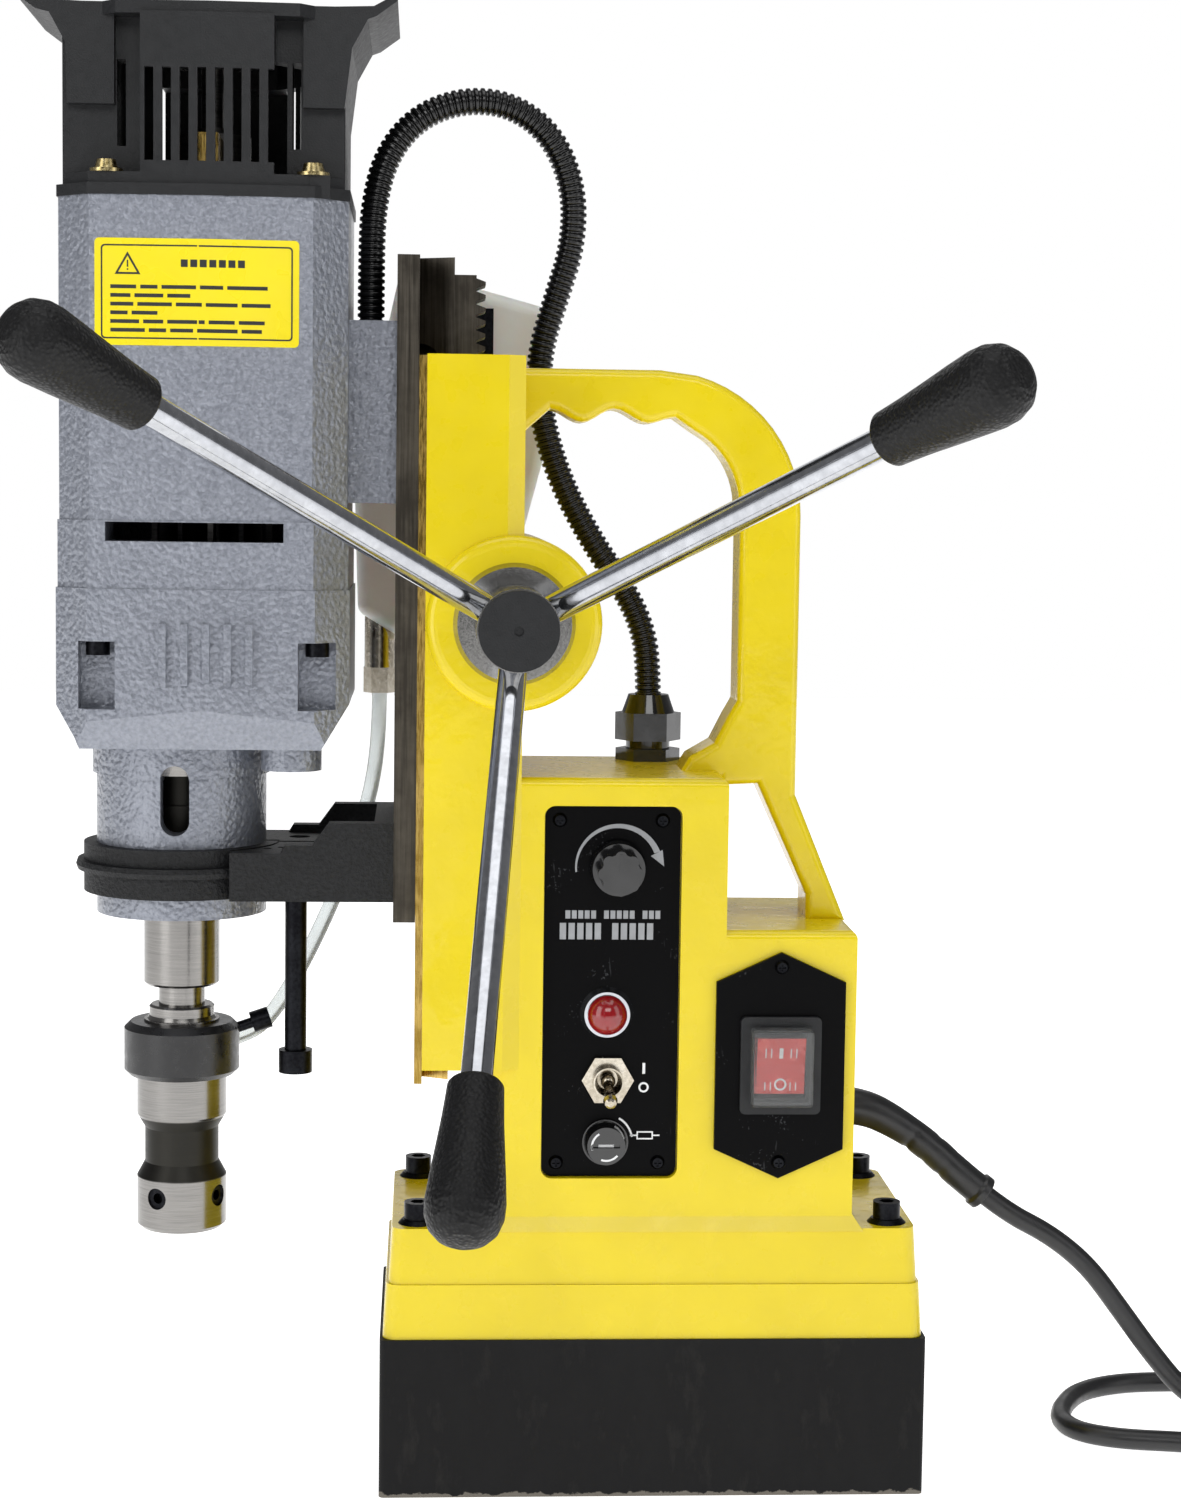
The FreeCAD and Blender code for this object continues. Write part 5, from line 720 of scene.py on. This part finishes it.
def arcBand(centre, inner, outer, start, end, steps=14):
    # short quads round a centre: inner and outer are (at start, at end) pairs
    quads = []
    for i in range(steps):
        corners = []
        for k, rim in ((i, inner), (i, outer), (i + 1, outer), (i + 1, inner)):
            share = k / steps
            reach = rim[0] + (rim[1] - rim[0]) * share
            turn = math.radians(start + (end - start) * share)
            corners.append((centre[0] + reach * math.cos(turn), centre[1] + reach * math.sin(turn)))
        quads.append(corners)
    return quads


panelMarks = {
    "dial": (-15.2, 230.8),
    "arrow": [(0.9, 237.4), (-3.3, 235.2), (1.6, 231.4)],  # says faster
    # rows of bars where the name is: foot, height, left, right, how many, and how much of its pitch a bar takes
    "rows": [(212.2, 3.0, -34.0, 1.0, 15, 0.75), (204.6, 6.0, -36.0, 2.0, 12, 0.72)],
    # beside the toggle, a bar says on and a ring says off
    "on": (-5.2, 155.2, -4.2, 159.2), "off": (-4.7, 150.2),
    "fuse": (-18.5, 130.1),
    # a plain fuse: a box with a wire at each end
    "fuseSign": [(-7.0, 133.4, -1.0, 133.9), (-7.0, 130.9, -1.0, 131.4), (-7.0, 131.4, -6.5, 133.4),
                 (-1.5, 131.4, -1.0, 133.4), (-9.4, 132.15, -7.0, 132.65), (-1.0, 132.15, 1.4, 132.65)],
    "capBar": (-21.3, 129.6, -15.7, 130.6),
}
rockerMarks = {"middle": 44.6, "on": (162.4, 166.4), "off": 152.6, "ticks": (3.6, 5.6), "tickHalf": 0.2,
               "tickHeights": [(162.6, 166.2), (150.4, 153.4)]}


def makePanelMarks():
    grey = arcBand(panelMarks["dial"], (14.9, 14.2), (15.5, 16.4), 186, 22, 30)
    grey.append(panelMarks["arrow"])
    for foot, tall, left, right, count, fill in panelMarks["rows"]:
        pitch = (right - left) / count
        for i in range(count):
            if i % 6 != 5:  # every sixth is left out, as a space between words is
                grey.append(bar(left + i * pitch, foot, left + (i + fill) * pitch, foot + tall))
    printShapes("panelScaleMarks", grey, "control_panel", "inkGrey", "stand")
    fuse = panelMarks["fuse"]
    white = [bar(*panelMarks["on"])] + arcBand(panelMarks["off"], (1.2, 1.2), (1.9, 1.9), 0, 360, 18)
    white += [bar(*edges) for edges in panelMarks["fuseSign"]]
    white += arcBand(fuse, (9.6, 9.6), (10.3, 10.3), 60, 10, 8)
    printShapes("panelSwitchMarks", white, "control_panel", "inkWhite", "stand")
    cap = [shape for start, end in ((120, 195), (250, 320))
           for shape in arcBand(fuse, (4.9, 4.9), (5.6, 5.6), start, end, 8)]
    cap.append(bar(*panelMarks["capBar"]))
    printShapes("fuseCapMarks", cap, "fuse_cap", "inkWhite", "fuse_top")
    middle, half = rockerMarks["middle"], rockerMarks["tickHalf"]
    low, high = rockerMarks["on"]
    rocker = [bar(middle - 0.7, low, middle + 0.7, high)]
    rocker += arcBand((middle, rockerMarks["off"]), (1.6, 1.6), (2.3, 2.3), 0, 360, 18)
    for side in (-1, 1):
        for out in rockerMarks["ticks"]:
            for low, high in rockerMarks["tickHeights"]:
                rocker.append(bar(middle + side * out - half, low, middle + side * out + half, high))
    printShapes("rockerMarks", rocker, "rocker", "inkWhite", "main_rocker", ink["thick"] / 2)


label = {
    "left": -201.5, "right": -130.5, "foot": 415.0, "top": 452.0, "corner": 1.6, "thick": 0.25,
    "border": 2.2, "line": 0.55, "outerCorner": 1.4, "innerCorner": 1.0,
    "triangle": [(-194.5, 439.5), (-185.5, 439.5), (-190.0, 447.3)],
    "triangleHole": [(-193.3, 440.2), (-186.7, 440.2), (-190.0, 445.9)],
    "triangleSign": [(-190.25, 442.0, -189.75, 444.4), (-190.25, 440.9, -189.75, 441.5)],
    # the heading is seven bars, and each row of print has a foot and the widths of its bars
    "heading": {"left": -171.5, "foot": 442.2, "wide": 2.4, "tall": 2.6, "pitch": 3.3, "count": 7},
    "rowLeft": -196.0, "rowTall": 1.3, "rowGap": 1.4,
    "rows": [(434.6, (9, 6, 12, 8, 14)), (431.6, (7, 10, 8)), (428.6, (8, 12, 9, 11, 10)), (425.6, (6, 9)),
             (422.6, (10, 7, 13, 9, 9)), (419.6, (12, 6, 8, 14, 7))],
}


def roundedOutline(left, right, foot, top, corner, steps=5):
    points = []
    for cx, cz, start in ((right - corner, top - corner, 0), (left + corner, top - corner, 90),
                          (left + corner, foot + corner, 180), (right - corner, foot + corner, 270)):
        for i in range(steps + 1):
            turn = math.radians(start + 90 * i / steps)
            points.append((cx + corner * math.cos(turn), cz + corner * math.sin(turn)))
    return points


def makeMotorLabel():
    left, right, foot, top = (label[key] for key in ("left", "right", "foot", "top"))
    plate = roundedOutline(left, right, foot, top, label["corner"])
    printShapes("motorLabel", [plate], "motor_housing", "labelVinyl", "carriage", label["thick"])
    inset = label["border"]
    outer = roundedOutline(left + inset, right - inset, foot + inset, top - inset, label["outerCorner"])
    inset += label["line"]
    inner = roundedOutline(left + inset, right - inset, foot + inset, top - inset, label["innerCorner"])
    marks = [[outer[i - 1], outer[i], inner[i], inner[i - 1]] for i in range(len(outer))]
    rim, hole = label["triangle"], label["triangleHole"]
    marks += [[rim[i - 1], rim[i], hole[i], hole[i - 1]] for i in range(3)]
    marks += [bar(*edges) for edges in label["triangleSign"]]
    heading = label["heading"]
    for i in range(heading["count"]):
        x = heading["left"] + i * heading["pitch"]
        marks.append(bar(x, heading["foot"], x + heading["wide"], heading["foot"] + heading["tall"]))
    for low, widths in label["rows"]:
        x = label["rowLeft"]
        for width in widths:
            marks.append(bar(x, low, x + width, low + label["rowTall"]))
            x += width + label["rowGap"]
    printShapes("motorLabelMarks", marks, "motor_housing", "inkBlack", "carriage",
                label["thick"] + 0.05)


# floor


def makeFloor():
    # matt paper sweep: plain white with the faintest fibre
    material, tree, shader = startFinish("mattPaper", "#f6f6f6", 0.8)
    fibre = addNode(tree, "ShaderNodeTexNoise", {"Scale": metre / 40, "Detail": 3}, {"Vector": textureSpace(tree)})
    tint = addNode(tree, "ShaderNodeMapRange", {"From Min": 0.3, "From Max": 0.7}, {"Value": fibre})
    dressShader(tree, shader, tint, "#f4f4f4", "#f8f8f8", None)
    shader.inputs["Emission Color"].default_value = toLinear("#ffffff")
    shader.inputs["Emission Strength"].default_value = 1.0  # paper lit evenly from below, out to its far edge
    form = bmesh.new()
    bmesh.ops.create_grid(form, x_segments=8, y_segments=8, size=4.0)
    mesh = bpy.data.meshes.new("paperFloor")
    form.to_mesh(mesh)
    form.free()
    mesh.materials.append(material)
    floor = bpy.data.objects.new("paperFloor", mesh)
    floor.location = (0, 0, -0.0004)
    bpy.context.scene.collection.objects.link(floor)


setCamera()
setStudio()
makeFloor()
print("camera, floor and lights set")
makeLead()
makeBoot()
makeConduit()
makeHose()
print("cords laid")
wearFinishes()
makePanelMarks()
makeMotorLabel()
print("marks and labels printed")
